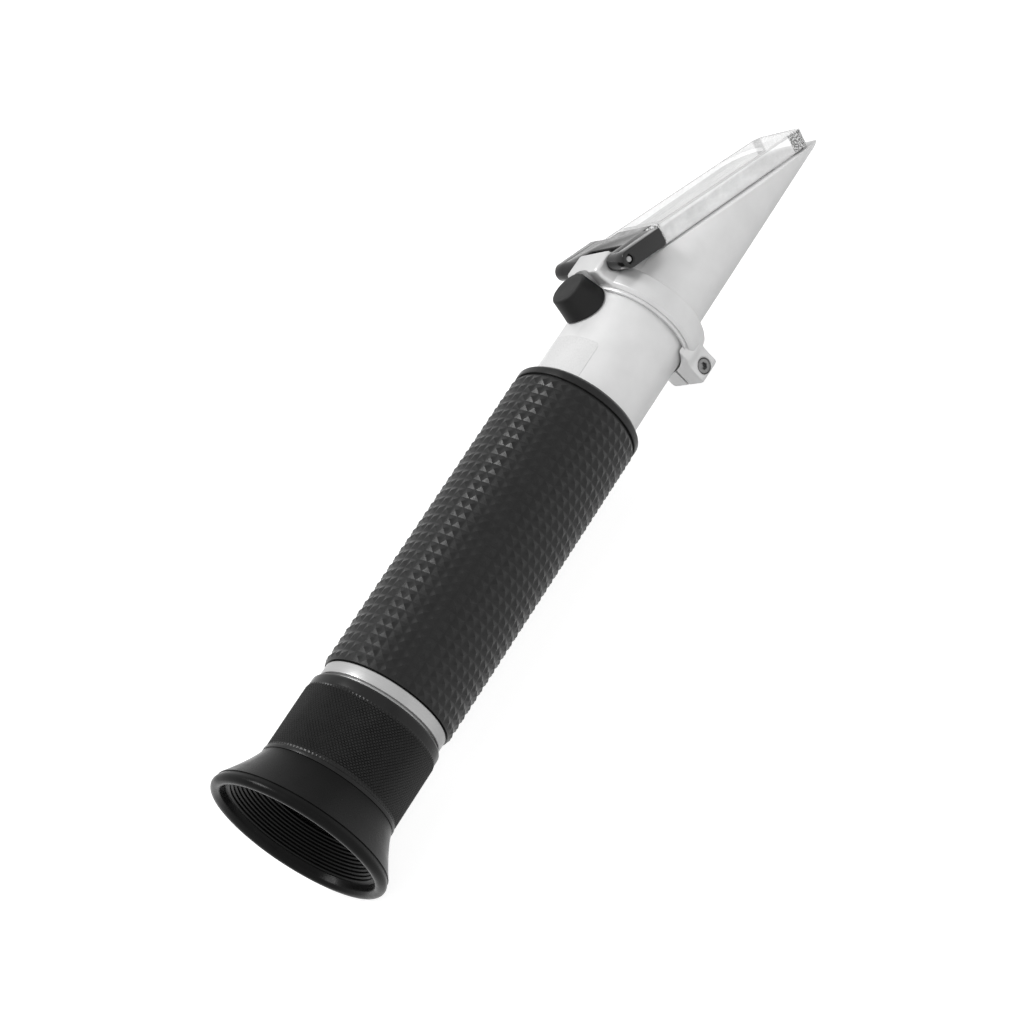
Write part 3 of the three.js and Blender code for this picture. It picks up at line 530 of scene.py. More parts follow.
def side_plate(name, outline, low, high):
    """An outline in the hinge frame's u and w, pushed across from low to high."""
    return extruded(name, outline, low, high, lambda u, w, y: at_hinge(u, y, w))


def plan_plate(name, outline, low, high):
    """An outline in u and y, pushed off the slanted face from low to high."""
    return extruded(name, outline, low, high, lambda u, y, w: at_hinge(u, y, w))


def spun(name, profile, place, along, sides=SMALL_ROUND):
    """A closed solid turned about any axis, from points of depth along the axis and radius."""
    place, along = Vector(place), Vector(along).normalized()
    aside = along.orthogonal().normalized()
    third = along.cross(aside)
    verts, faces = [], []
    for depth, radius in profile:
        for i in range(sides):
            angle = 2 * math.pi * i / sides
            out = aside * (radius * math.cos(angle)) + third * (radius * math.sin(angle))
            verts.append(place + along * depth + out)
    for ring in range(len(profile) - 1):
        low, high = ring * sides, (ring + 1) * sides
        for i in range(sides):
            nxt = (i + 1) % sides
            faces.append((low + i, low + nxt, high + nxt, high + i))
    faces.append(tuple(range(sides)))
    faces.append(tuple(range((len(profile) - 1) * sides, len(profile) * sides)))
    made = new_object(name, verts, faces)
    tidy_normals(made)
    return made


def rod(name, radius, start, end, sides=SMALL_ROUND, soft=0.0):
    """A round rod between two points, with rounded rims."""
    start, end = Vector(start), Vector(end)
    length = (end - start).length
    profile = [(0.0, radius), (length, radius)]
    if soft > 0:
        turns = [math.pi / 2 * k / RIM_STEPS for k in range(RIM_STEPS + 1)]
        rise = [(soft - soft * math.cos(turn), radius - soft + soft * math.sin(turn)) for turn in turns]
        profile = rise + [(length - depth, r) for depth, r in reversed(rise)]
    return spun(name, profile, start, end - start, sides)


def sunk_rim(radius, sink):
    """Depths and radii where a hole starts, with a countersink, from outside its piece."""
    return [(-OVERRUN, radius + sink + OVERRUN), (0.0, radius + sink), (sink, radius)]


def upright(name, radius, x, low, high, soft=0.0):
    """A rod that stands on the middle plane."""
    return rod(name, radius, (x, 0, low), (x, 0, high), soft=soft)


def crosswise(name, radius, place, near, far, sides=SMALL_ROUND, soft=0.0):
    """A rod that lies across the instrument, at the station and height of a place."""
    return rod(name, radius, (place.x, near, place.z), (place.x, far, place.z), sides, soft)


def box(name, low, high):
    corners = [(low[0], low[1]), (high[0], low[1]), (high[0], high[1]), (low[0], high[1])]
    return extruded(name, corners, low[2], high[2], lambda a, b, depth: (a, b, depth))


# Camera, as the photograph was taken, from the middle of the eyecup's rim

EYECUP_REACH = 1.16 * MM  # how far the eyecup's lip stands behind the middle of its rim
CAMERA_PLACE = Vector((-147.536, -481.459, 236.907)) * MM
CAMERA_TURN = [math.radians(angle) for angle in (57.385, 40.939, -47.798)]
CAMERA_LENS = 105.469
CAMERA_SENSOR = 36.0


def place_camera():
    lens = bpy.data.cameras.new("camera")
    lens.lens = CAMERA_LENS
    lens.sensor_width = CAMERA_SENSOR
    lens.sensor_fit = "HORIZONTAL"
    lens.clip_start = 0.01
    lens.clip_end = 20
    camera = into_scene("camera", lens)
    camera.location = Vector((lowest("eyecup").x + EYECUP_REACH, 0, AXIS)) + CAMERA_PLACE
    camera.rotation_euler = Euler(CAMERA_TURN, "XYZ")
    bpy.context.scene.camera = camera
    return camera


# Stage: lamps, white surroundings and a pale floor

# Name, place aside, above and toward the camera in metres, power in watts, side in metres, and whether
# glossy surfaces mirror it
SOFTBOXES = (
    ("key", -0.95, 0.72, 0.45, 10.5, 0.4, True),
    ("fill", 0.1, 0.1, 1.25, 6.4, 0.5, False),
)
AMBIENT = 0.36  # light from all round
FLOOR_BOUNCE = 0.35  # how pale the floor is to the light that it throws back
FLOOR_SHOWN = 0.45  # how much of the object's shadow shows on it
FLOOR_GLOW = 0.86  # what makes it look white
FLOOR_HALF = 4.0
FLOOR_DROP = 0.3 * MM


def softbox(camera, name, aside, above, toward, power, size, mirrored):
    light = bpy.data.lights.new(name, "AREA")
    light.energy = power
    light.size = size
    made = into_scene(name, light)
    middle = Vector((0, 0, AXIS))
    right, up, back = camera.rotation_euler.to_matrix().col
    made.location = middle + right * aside + up * above + back * toward
    made.rotation_euler = (made.location - middle).to_track_quat("Z", "Y").to_euler()
    made.visible_glossy = mirrored


def backdrop_ray(tree):
    """One for rays that should meet the white backdrop: seen, mirrored or through glass."""
    ray = add_node(tree, "LightPath").outputs
    seen = calculate(tree, "MAXIMUM", ray["Is Camera Ray"], ray["Is Glossy Ray"])
    return calculate(tree, "MAXIMUM", seen, ray["Is Transmission Ray"])


def surroundings():
    world = bpy.data.worlds.new("studio")
    world.use_nodes = True
    tree = world.node_tree
    ambient = tree.nodes["Background"]
    feed(tree, ambient, {"Color": grey(1), "Strength": AMBIENT})
    plain = add_node(tree, "Background", {"Color": grey(1), "Strength": 1.0})
    mix = add_node(tree, "MixShader", {"Fac": backdrop_ray(tree), 1: ambient.outputs[0], 2: plain.outputs[0]})
    feed(tree, tree.nodes["World Output"], {"Surface": mix.outputs[0]})
    bpy.context.scene.world = world


def pale_floor():
    material, tree, _ = new_material("pale_floor")
    tree.nodes.clear()
    bounced = add_node(tree, "BsdfDiffuse", {"Color": grey(FLOOR_BOUNCE)})
    shown = add_node(tree, "BsdfDiffuse", {"Color": grey(FLOOR_SHOWN)})
    glow = add_node(tree, "Emission", {"Strength": FLOOR_GLOW})
    both = add_node(tree, "AddShader", {0: shown.outputs[0], 1: glow.outputs[0]})
    mix = add_node(tree, "MixShader", {"Fac": backdrop_ray(tree), 1: bounced.outputs[0], 2: both.outputs[0]})
    add_node(tree, "OutputMaterial", {"Surface": mix.outputs[0]})
    half = FLOOR_HALF
    corners = [(-half, -half, 0), (half, -half, 0), (half, half, 0), (-half, half, 0)]
    floor = new_object("floor", corners, [(0, 1, 2, 3)])
    floor.location.z = -FLOOR_DROP
    floor.data.materials.append(material)


def camera_and_stage():
    camera = place_camera()
    for lamp in SOFTBOXES:
        softbox(camera, *lamp)
    surroundings()
    pale_floor()
    bpy.context.scene.view_settings.view_transform = "Standard"


# Eyecup: a hollow flare with a rolled lip, and a ribbed funnel inside

CUP_LIP_ROUND = 1.16 * MM
CUP_LIP_STEPS = 14
CUP_LIP_START = 66  # in degrees round the lip from the front
CUP_LIP_END = 270
CUP_STEPS = 26
CUP_HOLLOW = 1.25  # power of the flare's hollow curve
CUP_FLARE_END = 1.15 * CUP_LIP_ROUND  # where the flare meets the lip, ahead of the lip's middle
CUP_FLARE_DROP = 0.3 * CUP_LIP_ROUND
CUP_CREASE = (0.12 * MM, 0.14 * MM)
CUP_RIBS = 10
CUP_RIB_SHARES = (0.0, -0.55, -1.0, -1.0, -0.25)  # rise of one rib towards the axis
CUP_RIB_HEIGHT = 0.5 * MM
CUP_SMOOTH_MOUTH = 0.9 * MM
CUP_MOUTH_STEP = 0.25 * MM


def eyecup():
    rear, front = ends_of("eyecup")
    throat, rim = radii_of("eyecup")
    spigot, neck = radii_of("eyecup", front, front)
    seat = stations_at("eyecup", throat)[0]
    lip_x = rear + CUP_LIP_ROUND
    lip_r = rim - CUP_LIP_ROUND
    flare_start = lip_x + CUP_FLARE_END
    flare_rim = rim - CUP_FLARE_DROP
    outline = []
    for k in range(CUP_STEPS + 1):
        t = k / CUP_STEPS
        outline.append((front + t * (flare_start - front), neck + (flare_rim - neck) * t**CUP_HOLLOW))
    outline.append((flare_start - CUP_CREASE[0], flare_rim - CUP_CREASE[1]))
    outline += arc((lip_x, lip_r), CUP_LIP_ROUND, CUP_LIP_START, CUP_LIP_END, CUP_LIP_STEPS)
    mouth = lip_r - CUP_LIP_ROUND - CUP_MOUTH_STEP
    cone_start = lip_x + CUP_SMOOTH_MOUTH
    steps = CUP_RIBS * len(CUP_RIB_SHARES)
    for k in range(steps + 1):
        t = k / steps
        rib = CUP_RIB_HEIGHT * CUP_RIB_SHARES[k % len(CUP_RIB_SHARES)]
        outline.append((cone_start + t * (seat - cone_start), mouth + t * (throat - mouth) + rib))
    outline += [(seat, spigot), (front, spigot)]
    piece = turned("eyecup_shell", outline)
    finish_piece(piece, "eyepiece", "eyecup_rubber", "eyecup", sharp=48)


# Focusing barrel, with a fine diamond knurl

KNURL_PITCH = 0.8 * MM
KNURL_DEPTH = 0.24 * MM
KNURL_LEAD = 0.2 * MM
COLLAR_LENGTH = 2.0 * MM
COLLAR_RISE = 0.12 * MM
COLLAR_SLOPE = 0.08 * MM
COLLAR_CHAMFER = 0.4 * MM
BARREL_RIM = 0.9 * MM
BARREL_RIM_STEP = 0.1 * MM


def focus_barrel():
    rear, front = ends_of("focus_ring")
    web_bore, rim = radii_of("focus_ring")
    web_rear, web_front = stations_at("focus_ring", web_bore)
    spigot_bore, spigot = radii_of("focus_ring", rear, rear)
    skirt, collar = radii_of("focus_ring", front, front)
    thread = radii_of("focus_ring", web_front, web_front)[1]
    skirt_rear = stations_at("focus_ring", skirt)[0]
    rim_rear = stations_at("focus_ring", rim)[0]
    body = rim - BARREL_RIM_STEP
    knurl_rear = rim_rear + BARREL_RIM
    knurl_front = front - COLLAR_LENGTH
    around = 2 * int(2 * math.pi * rim / KNURL_PITCH)
    rows = 2 * int((knurl_front - knurl_rear) / KNURL_PITCH)

    def ring(x, r, wave=0.0, shift=0):
        """A ring of corners, of which every other one stands out by the wave."""
        heights = [r + (wave if (i + shift) % 2 else 0.0) for i in range(around)]
        return [about_axis(x, high, 2 * math.pi * i / around) for i, high in enumerate(heights)]

    rings = [ring(x, r) for x, r in softened([
        (rear, spigot_bore, 0),
        (rear, spigot, SOFT_EDGE),
        (rim_rear, spigot, 0),
        (rim_rear, rim, SOFT_EDGE),
        (knurl_rear - KNURL_LEAD, rim, SOFT_EDGE),
        (knurl_rear, body - KNURL_DEPTH / 2, 0),
    ])]
    first = len(rings)
    for row in range(rows + 1):
        x = knurl_rear + (knurl_front - knurl_rear) * row / rows
        fade = min(1.0, row / 2, (rows - row) / 2)
        rings.append(ring(x, body - KNURL_DEPTH, KNURL_DEPTH * fade, row % 2))
    rings += [ring(x, r) for x, r in softened([
        (knurl_front + COLLAR_SLOPE, collar + COLLAR_RISE, 0),
        (front - COLLAR_CHAMFER, collar + COLLAR_SLOPE, SOFT_EDGE),
        (front, collar - COLLAR_CHAMFER / 2, SOFT_EDGE),
        (front, skirt, 0),
        (skirt_rear, skirt, 0),
        (skirt_rear, thread, 0),
        (web_front, thread, 0),
        (web_front, web_bore, SOFT_EDGE),
        (web_rear, web_bore, 2 * SOFT_EDGE),
        (web_rear, spigot_bore, 0),
    ])]

    def diagonal(index, i):
        row = index - first
        return (i + row) % 2 == 0 if 0 <= row < rows else None

    piece = ringed("focus_barrel", rings, diagonal)
    finish_piece(piece, "eyepiece", "barrel_plastic", "focus_ring", sharp=24)


# Silver band between barrel and grip

BAND_REACH = 0.45 * MM  # the band runs on under the barrel's skirt
SEAL_GROOVE_DEPTH = 0.3 * MM
SEAL_GROOVE_HALF = 0.6 * MM


def mount_band():
    rear, front = ends_of("eyepiece_mount")
    bore, band = radii_of("eyepiece_mount")
    nose = radii_of("eyepiece_mount", rear, rear)[1]
    insert = radii_of("eyepiece_mount", front, front)[1]
    band_rear, band_front = stations_at("eyepiece_mount", band)
    band_rear -= BAND_REACH
    seal = middle_of("focus_seal").x
    groove = radii_of("focus_seal")[0] - SEAL_GROOVE_DEPTH
    piece = turned("silver_band", softened([
        (rear, bore, 0),
        (rear, nose, SOFT_EDGE),
        (seal - SEAL_GROOVE_HALF, nose, 0),
        (seal - SEAL_GROOVE_HALF, groove, 0),
        (seal + SEAL_GROOVE_HALF, groove, 0),
        (seal + SEAL_GROOVE_HALF, nose, 0),
        (band_rear, nose, 0),
        (band_rear, band, 2 * SOFT_EDGE),
        (band_front, band, 2 * SOFT_EDGE),
        (band_front, insert, 0),
        (front, insert, SOFT_EDGE),
        (front, bore, 0),
    ]))
    low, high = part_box("guide_pin")
    radius = half_width("guide_pin") + CUT_GAP
    hole = upright("pin_hole", radius, middle_of("guide_pin").x, low.z - OVERRUN, high.z + CUT_GAP)
    cut(piece, hole)
    finish_piece(piece, "housing", "band_metal", "eyepiece_mount")


# Grip sleeve with its studs

STUDS_AROUND = 40
STUD_ROWS = 32
STUD_SHARES = (0.0, 0.05, 0.46, 0.54, 0.95)  # stations across one stud: valley, foot, top, top, foot
STUD_HEIGHT = 0.34 * MM
LIP_LENGTH = 2.3 * MM
LIP_DROP = 0.1 * MM  # how far the lip stays under the tops of the CAD's studs
LIP_SLOPE = 0.05 * MM
LIP_CHAMFER = (0.9 * MM, 1.0 * MM)  # along and down
LIP_ROUNDING = (0.25 * MM, 0.3 * MM, 0.35 * MM, 0.1 * MM)  # of its corners, from the groove to the bore
GROOVE_WIDTH = 0.55 * MM
GROOVE_DEPTH = 0.36 * MM


def grip():
    rear, front = ends_of("grip_sleeve")
    bore, top = radii_of("grip_sleeve")
    root = top - STUD_HEIGHT
    stud_front = front - LIP_LENGTH - GROOVE_WIDTH
    per = len(STUD_SHARES)
    around = STUDS_AROUND * per

    def height(share):
        foot, crown = STUD_SHARES[1], STUD_SHARES[2]
        return max(0.0, min(1.0, (min(share, 1 - share) - foot) / (crown - foot)))

    angles = [2 * math.pi * (i + share) / STUDS_AROUND for i in range(STUDS_AROUND) for share in STUD_SHARES]
    across = [height(share) for share in STUD_SHARES] * STUDS_AROUND
    pitch = (stud_front - rear) / STUD_ROWS
    rows = [
        (rear + (row + share) * pitch, height(share))
        for row in range(STUD_ROWS)
        for share in STUD_SHARES
    ]
    rows.append((stud_front, 0.0))

    def ring(x, radii):
        return [about_axis(x, r, angle) for angle, r in zip(angles, radii)]

    rings = [ring(x, [root + STUD_HEIGHT * min(up, side) for side in across]) for x, up in rows]
    lip = top - LIP_DROP
    rings += [ring(x, [r] * around) for x, r in softened([
        (stud_front, root - GROOVE_DEPTH, 0),
        (stud_front + GROOVE_WIDTH, root - GROOVE_DEPTH, 0),
        (stud_front + GROOVE_WIDTH, lip - LIP_SLOPE, LIP_ROUNDING[0]),
        (front - LIP_CHAMFER[0], lip, LIP_ROUNDING[1]),
        (front, lip - LIP_CHAMFER[1], LIP_ROUNDING[2]),
        (front, bore, LIP_ROUNDING[3]),
        (rear, bore, 0),
    ])]

    def diagonal(row, i):
        return (row % per < 2) == (i % per < 2) if row < len(rows) - 1 else None

    piece = ringed("studded_grip", rings, diagonal)
    finish_piece(piece, "housing", "grip_rubber", "grip_sleeve", sharp=20)


# Main tube, with a spot face for the bush of the calibration screw

SPOT_GAP = 0.2 * MM
SPOT_DEPTH = 0.4 * MM


def tube():
    rear, front = ends_of("main_tube")
    bore, outer = radii_of("main_tube")
    piece = turned("tube_shell", softened([
        (rear, bore, 0),
        (rear, outer, SOFT_EDGE),
        (front, outer, SOFT_EDGE),
        (front, bore, 0),
    ]))
    radius = half_width("calibration_bush") + SPOT_GAP
    top = AXIS + outer
    x = middle_of("calibration_screw").x
    cut(piece, upright("spot_face", radius, x, top - SPOT_DEPTH, top + OVERRUN))
    finish_piece(piece, "housing", "tube_metal", "main_tube")


# Bare film on the tube

FILM_LENGTH = 9.1 * MM
FILM_TUCK = 0.5 * MM  # how far it runs under the grip's lip
FILM_HALF = 8.2 * MM
FILM_HEIGHT = 0.07 * MM
FILM_CORNER = 1.0 * MM
FILM_STEPS = 48


def tube_film():
    outer = radii_of("main_tube")[1]
    lip = highest("grip_sleeve").x
    rear, front = lip - FILM_TUCK, lip + FILM_LENGTH
    reach = math.asin(FILM_HALF / outer)
    verts, faces = [], []
    for k in range(FILM_STEPS + 1):
        angle = reach - 2 * reach * k / FILM_STEPS
        into = max(0.0, FILM_CORNER - (reach - abs(angle)) * outer)
        corner = FILM_CORNER - math.sqrt(FILM_CORNER**2 - into**2)
        for x in (rear, front - corner):
            verts += [about_axis(x, r, angle) for r in (outer, outer + FILM_HEIGHT)]
    for k in range(FILM_STEPS):
        a, b = 4 * k, 4 * k + 4
        for low, high in ((0, 1), (1, 3), (3, 2), (2, 0)):
            faces.append((a + low, a + high, b + high, b + low))
    faces += [(0, 1, 3, 2), tuple(4 * FILM_STEPS + corner for corner in (0, 1, 3, 2))]
    piece = new_object("tube_film", verts, faces)
    finish_piece(piece, "housing", "tube_metal", look=LOOKS["film"])


# Cap on the calibration screw: its foot follows the tube, and its wall leans in to a rounded top

CAP_TOP_SPREAD = 0.4 * MM  # how far the rounded top reaches past the CAD's flat one
CAP_SADDLE_GAP = 0.2 * MM
CAP_SOCKET_DEPTH = 0.8 * MM
CAP_FOOT_ROUND = 0.15 * MM
CAP_FOOT_RISE = 0.2 * MM
CAP_SHOULDER = 0.55 * MM
CAP_SHOULDER_STEPS = 6
CAP_WALL_STEPS = 8
CAP_BULGE = 0.9  # power of the wall's curve


def screw_cap():
    middle = middle_of("calibration_cap")
    foot = half_width("calibration_cap")
    top = highest("calibration_cap").z
    points = corners_of("calibration_cap")
    away = np.hypot(points[:, 0] - middle.x, points[:, 1])
    top_radius = away[points[:, 2] > top - NEAR].max() + CAP_TOP_SPREAD
    socket = away[points[:, 2] < top - 2 * NEAR].min()
    saddle = radii_of("main_tube")[1] + CAP_SADDLE_GAP
    wall_high = top - CAP_SHOULDER
    shoulder = arc((top_radius - CAP_SHOULDER, wall_high), CAP_SHOULDER, 0, 90, CAP_SHOULDER_STEPS)
    verts, faces = [], []
    for i in range(SMALL_ROUND):
        angle = 2 * math.pi * i / SMALL_ROUND
        along, across = math.cos(angle), math.sin(angle)

        def on_tube(r):
            return AXIS + math.sqrt(saddle**2 - (r * across) ** 2)

        wall_low = on_tube(foot) + CAP_FOOT_RISE
        column = [
            (socket, on_tube(socket) + CAP_SOCKET_DEPTH),
            (socket, on_tube(socket)),
            (foot - CAP_FOOT_ROUND, on_tube(foot)),
            (foot, wall_low),
        ]
        for k in range(1, CAP_WALL_STEPS + 1):
            t = k / CAP_WALL_STEPS
            column.append((foot + (top_radius - foot) * t**CAP_BULGE, wall_low + (wall_high - wall_low) * t))
        column += shoulder[1:]
        column.append((top_radius / 2, top))
        count = len(column)
        verts += [(middle.x + r * along, middle.y + r * across, z) for r, z in column]
    for i in range(SMALL_ROUND):
        nxt = (i + 1) % SMALL_ROUND
        for k in range(count - 1):
            faces.append((i * count + k, i * count + k + 1, nxt * count + k + 1, nxt * count + k))
    faces.append(tuple(i * count + count - 1 for i in range(SMALL_ROUND)))
    faces.append(tuple(i * count for i in range(SMALL_ROUND)))
    piece = new_object("screw_cap", verts, faces)
    finish_piece(piece, "cap", "cap_rubber", "calibration_cap")


# Prism head: turned nose with its slanted cut

PRISM_EDGE = 0.16 * MM
NOSE_EDGE = 0.5 * MM
PRISM_GAP = 0.2 * MM
POCKET_DEPTH = 2.2 * MM  # of the pocket's shallow rear end, under the axis
POCKET_RAMP = 8.3 * MM
LIGHT_BORE = 5.8 * MM


def prism_head():
    seat = highest("main_tube").x + CUT_GAP
    rear, tip = ends_of("prism_body")
    head = radii_of("prism_body", seat + MM, tip)[1]
    insert = radii_of("prism_body", rear, rear)[1]
    piece = turned("prism_head", softened([
        (rear, 0, 0),
        (rear, insert, SOFT_EDGE),
        (seat, insert, 0),
        (seat, head, SOFT_EDGE),
        (tip, head, NOSE_EDGE),
        (tip, 0, 0),
    ]))
    tidy_normals(piece)

    def lengthwise(name, outline, near, far):
        return extruded(name, outline, near, far, lambda x, z, y: (x, y, z))

    above, past, side = AXIS + head + 4 * OVERRUN, tip + OVERRUN, head + OVERRUN
    slant = lengthwise("slant", [
        (seat, face_height(seat)),
        (past, face_height(past)),
        (past, above),
        (seat, above),
    ], -side, side)
    low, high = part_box("main_prism")
    pocket = lengthwise("pocket", [
        (low.x - PRISM_GAP, above),
        (low.x - PRISM_GAP, AXIS - POCKET_DEPTH),
        (low.x + POCKET_RAMP, low.z - PRISM_GAP),
        (high.x + PRISM_GAP, low.z - PRISM_GAP),
        (high.x + PRISM_GAP, above),
    ], low.y - PRISM_GAP, high.y + PRISM_GAP)
    light_hole = rod("light_hole", LIGHT_BORE, (rear - OVERRUN, 0, AXIS), (low.x + 2 * MM, 0, AXIS))
    cut(piece, slant, pocket, light_hole)
    bevelled(piece, PRISM_EDGE, 2, 40)
    finish_piece(piece, "housing", "tube_metal", "prism_body")


# Clamp ring with its hinge block and ears

RING_BEHIND = 4.2 * MM  # how far the ring reaches behind the front of the tube
RING_BEYOND = 1.6 * MM
RING_LIP = 0.6 * MM
RING_LIP_WALL = 1.0 * MM
RING_EDGE = 0.7 * MM
RING_SINK = 0.4 * MM
BLOCK_LENGTH = 5.8 * MM
BLOCK_HALF = 5.0 * MM
BLOCK_EDGE = 0.75 * MM
BLOCK_FOOT = 1.6 * MM
BLOCK_WIDENING = 1.03  # how much wider the block is at its rear
EAR_LENGTH = 5.6 * MM
EAR_NEAR = -8.9 * MM
EAR_FAR = 1.3 * MM
EAR_CORNER = 1.2 * MM
EAR_FILLET = 1.8 * MM
EAR_HOLLOW = 0.75 * EAR_FILLET  # how far the fillet reaches out and up
EAR_TOE = 0.12 * EAR_FILLET
EAR_EDGE = 0.32 * MM
EAR_SLIT = 0.7 * MM
KNUCKLE_RADIUS = 1.85 * MM
YOKE_NEAR = -10.9 * MM
YOKE_FAR = 12.4 * MM
COUNTERSINK = 0.25 * MM
SCREW_HEAD = 1.5 * MM
SCREW_SHANK = 1.0 * MM
NUT_ROOM = 1.6 * MM


def clamp_collar(ring_rear, ring_front, tube_radius, outer):
    """The ring as a solid disc with a thin lip at its rear."""
    lip_front = ring_rear + RING_LIP
    piece = turned("clamp_collar", softened([
        (ring_rear, 0, 0),
        (ring_rear, tube_radius + RING_LIP_WALL, 2 * SOFT_EDGE),
        (lip_front, tube_radius + RING_LIP_WALL, 0),
        (lip_front, outer - RING_EDGE, SOFT_EDGE),
        (lip_front + RING_EDGE, outer, SOFT_EDGE),
        (ring_front, outer, 3 * SOFT_EDGE),
        (ring_front, 0, 0),
    ]))
    tidy_normals(piece)
    return piece


def hinge_block(tube_radius, outer, high):
    """The block on top of the ring, with a flared foot, which runs back from the ring's front."""
    foot_low = AXIS + tube_radius - BLOCK_FOOT / 2
    foot_high = AXIS + outer + BLOCK_FOOT / 2
    half = [(BLOCK_HALF + BLOCK_FOOT, foot_low), (BLOCK_HALF, foot_high), (BLOCK_HALF, high.z)]
    outline = half + [(-y, z) for y, z in reversed(half)]

    def widening(y, z, x):
        return x, y * (BLOCK_WIDENING if x < high.x - NEAR else 1.0), z

    block = extruded("block", outline, high.x - BLOCK_LENGTH, high.x, widening)
    bevelled(block, BLOCK_EDGE, 3, 60)
    return block


def clamp_ears(root, outer, low):
    """Both ears as one solid under the ring, which the slit parts later."""
    fillet_y = EAR_NEAR - EAR_HOLLOW
    fillet_z = AXIS - math.sqrt(outer**2 - fillet_y**2)
    fillet_low = AXIS - math.sqrt(outer**2 - EAR_NEAR**2) - EAR_FILLET
    ears = extruded("ears", softened([
        (fillet_y, root, 0),
        (fillet_y, fillet_z, 0),
        (EAR_NEAR - EAR_TOE, fillet_low + EAR_HOLLOW, EAR_FILLET),
        (EAR_NEAR, fillet_low, EAR_FILLET),
        (EAR_NEAR, low.z, EAR_CORNER),
        (EAR_FAR, low.z, EAR_CORNER),
        (EAR_FAR, root, 0),
    ], 6), low.x, low.x + EAR_LENGTH, lambda y, z, x: (x, y, z))
    bevelled(ears, EAR_EDGE, 3, 60)
    return ears


def clamp_ring():
    tube_front = highest("main_tube").x
    tube_radius = radii_of("main_tube")[1]
    head = radii_of("prism_body", tube_front + MM)[1]
    low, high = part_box("clamp_ring")
    ring_rear, ring_front = tube_front - RING_BEHIND, tube_front + RING_BEYOND
    root = AXIS - tube_radius / 2
    piece = clamp_collar(ring_rear, ring_front, tube_radius, high.y)
    join(piece, hinge_block(tube_radius, high.y, high), clamp_ears(root, high.y, low))

    rear, front = low.x - OVERRUN, high.x + OVERRUN
    step = tube_front + SEAT_GAP
    bore = turned("bore", [
        (rear, 0),
        (rear, tube_radius + RING_SINK),
        (ring_rear, tube_radius + RING_SINK),
        (ring_rear + RING_SINK, tube_radius + CUT_GAP),
        (step, tube_radius + CUT_GAP),
        (step, head + CUT_GAP),
        (front, head + CUT_GAP),
        (front, 0),
    ])
    tidy_normals(bore)
    parting = (EAR_NEAR + EAR_FAR) / 2
    slit = box(
        "slit",
        (rear, parting - EAR_SLIT / 2, low.z - OVERRUN),
        (ring_front + OVERRUN, parting + EAR_SLIT / 2, root),
    )
    cut(piece, bore, slit)

    knuckle = KNUCKLE_RADIUS + SEAT_GAP
    cap = half_width("calibration_cap") + SEAT_GAP
    cut(
        piece,
        crosswise("near_room", knuckle, PIN, -BLOCK_HALF, 2 * YOKE_NEAR),
        crosswise("far_room", knuckle, PIN, BLOCK_HALF, 2 * YOKE_FAR),
        upright("cap_room", cap, middle_of("calibration_cap").x, AXIS, high.z + OVERRUN),
        crosswise("pin_hole", half_width("hinge_pin") + CUT_GAP, PIN, YOKE_NEAR, YOKE_FAR),
    )

    screw = middle_of("clamp_screw")
    radius = half_width("clamp_screw") + CUT_GAP
    profile = sunk_rim(radius, COUNTERSINK) + [(SCREW_HEAD + SEAT_GAP, radius)]
    counterbore = spun("counterbore", profile, (screw.x, EAR_NEAR, screw.z), (0, 1, 0))
    past = EAR_FAR + OVERRUN
    through = crosswise("through", SCREW_SHANK + CUT_GAP, screw, EAR_NEAR - OVERRUN, past)
    nut = crosswise("nut_room", NUT_ROOM, screw, lowest("clamp_nut").y, past, 6)
    cut(piece, counterbore, through, nut)
    finish_piece(piece, "housing", "ring_metal", "clamp_ring", sharp=38)


# Clamp screw with its hexagon socket

SCREW_ROUND = 0.22 * MM
SCREW_RIM = 0.08 * MM
SCREW_TIP = 0.2 * MM
SCREW_SOCKET = 0.8 * MM
SOCKET_RIM = 0.12 * MM


def clamp_screw():
    low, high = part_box("clamp_screw")
    middle = middle_of("clamp_screw")
    radius = half_width("clamp_screw")
    length = high.y - low.y
    head = SCREW_HEAD - CUT_GAP
    piece = spun("socket_screw", [
        (0.0, radius - SCREW_ROUND),
        (SCREW_RIM, radius - SCREW_RIM),
        (SCREW_ROUND, radius),
        (head, radius),
        (head, SCREW_SHANK),
        (length - SCREW_TIP, SCREW_SHANK),
        (length, SCREW_SHANK - SCREW_TIP),
    ], (middle.x, low.y, middle.z), (0, 1, 0))
    profile = sunk_rim(SCREW_SOCKET, SOCKET_RIM) + [(SCREW_HEAD / 2, SCREW_SOCKET)]
    socket = spun("socket", profile, (middle.x, low.y, middle.z), (0, 1, 0), 6)
    cut(piece, socket)
    # The clamp screw takes the darker copy of steel, painted shade for its counterbore.
    finish_piece(piece, "housing", "steel", "clamp_screw", look=LOOKS["shade_darkened_steel"])


# Hinge pin

PIN_DOME = 0.35 * MM


def hinge_pin():
    low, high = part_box("hinge_pin")
    piece = crosswise("pivot_rod", half_width("hinge_pin"), PIN, low.y, high.y, soft=PIN_DOME)
    finish_piece(piece, "housing", "steel", "hinge_pin")


# Hinge yoke: two arms, two knuckles and a web over the block

ARM_WIDTH = 2.8 * MM
ARM_FRONT = 9.7 * MM
ARM_CORNER = 0.9 * MM
WEB_LOW = 0.75 * MM
WEB_FRONT = 9.5 * MM
WEB_EDGE = 0.154 * MM
NOTCH_FRONT = 3.6 * MM
NOTCH_HALF = 5.3 * MM
TONGUE_FRONT = 12.1 * MM
TONGUE_HALF = 5.65 * MM
YOKE_EDGE = 0.22 * MM
KNUCKLE_STEP = 0.02 * MM


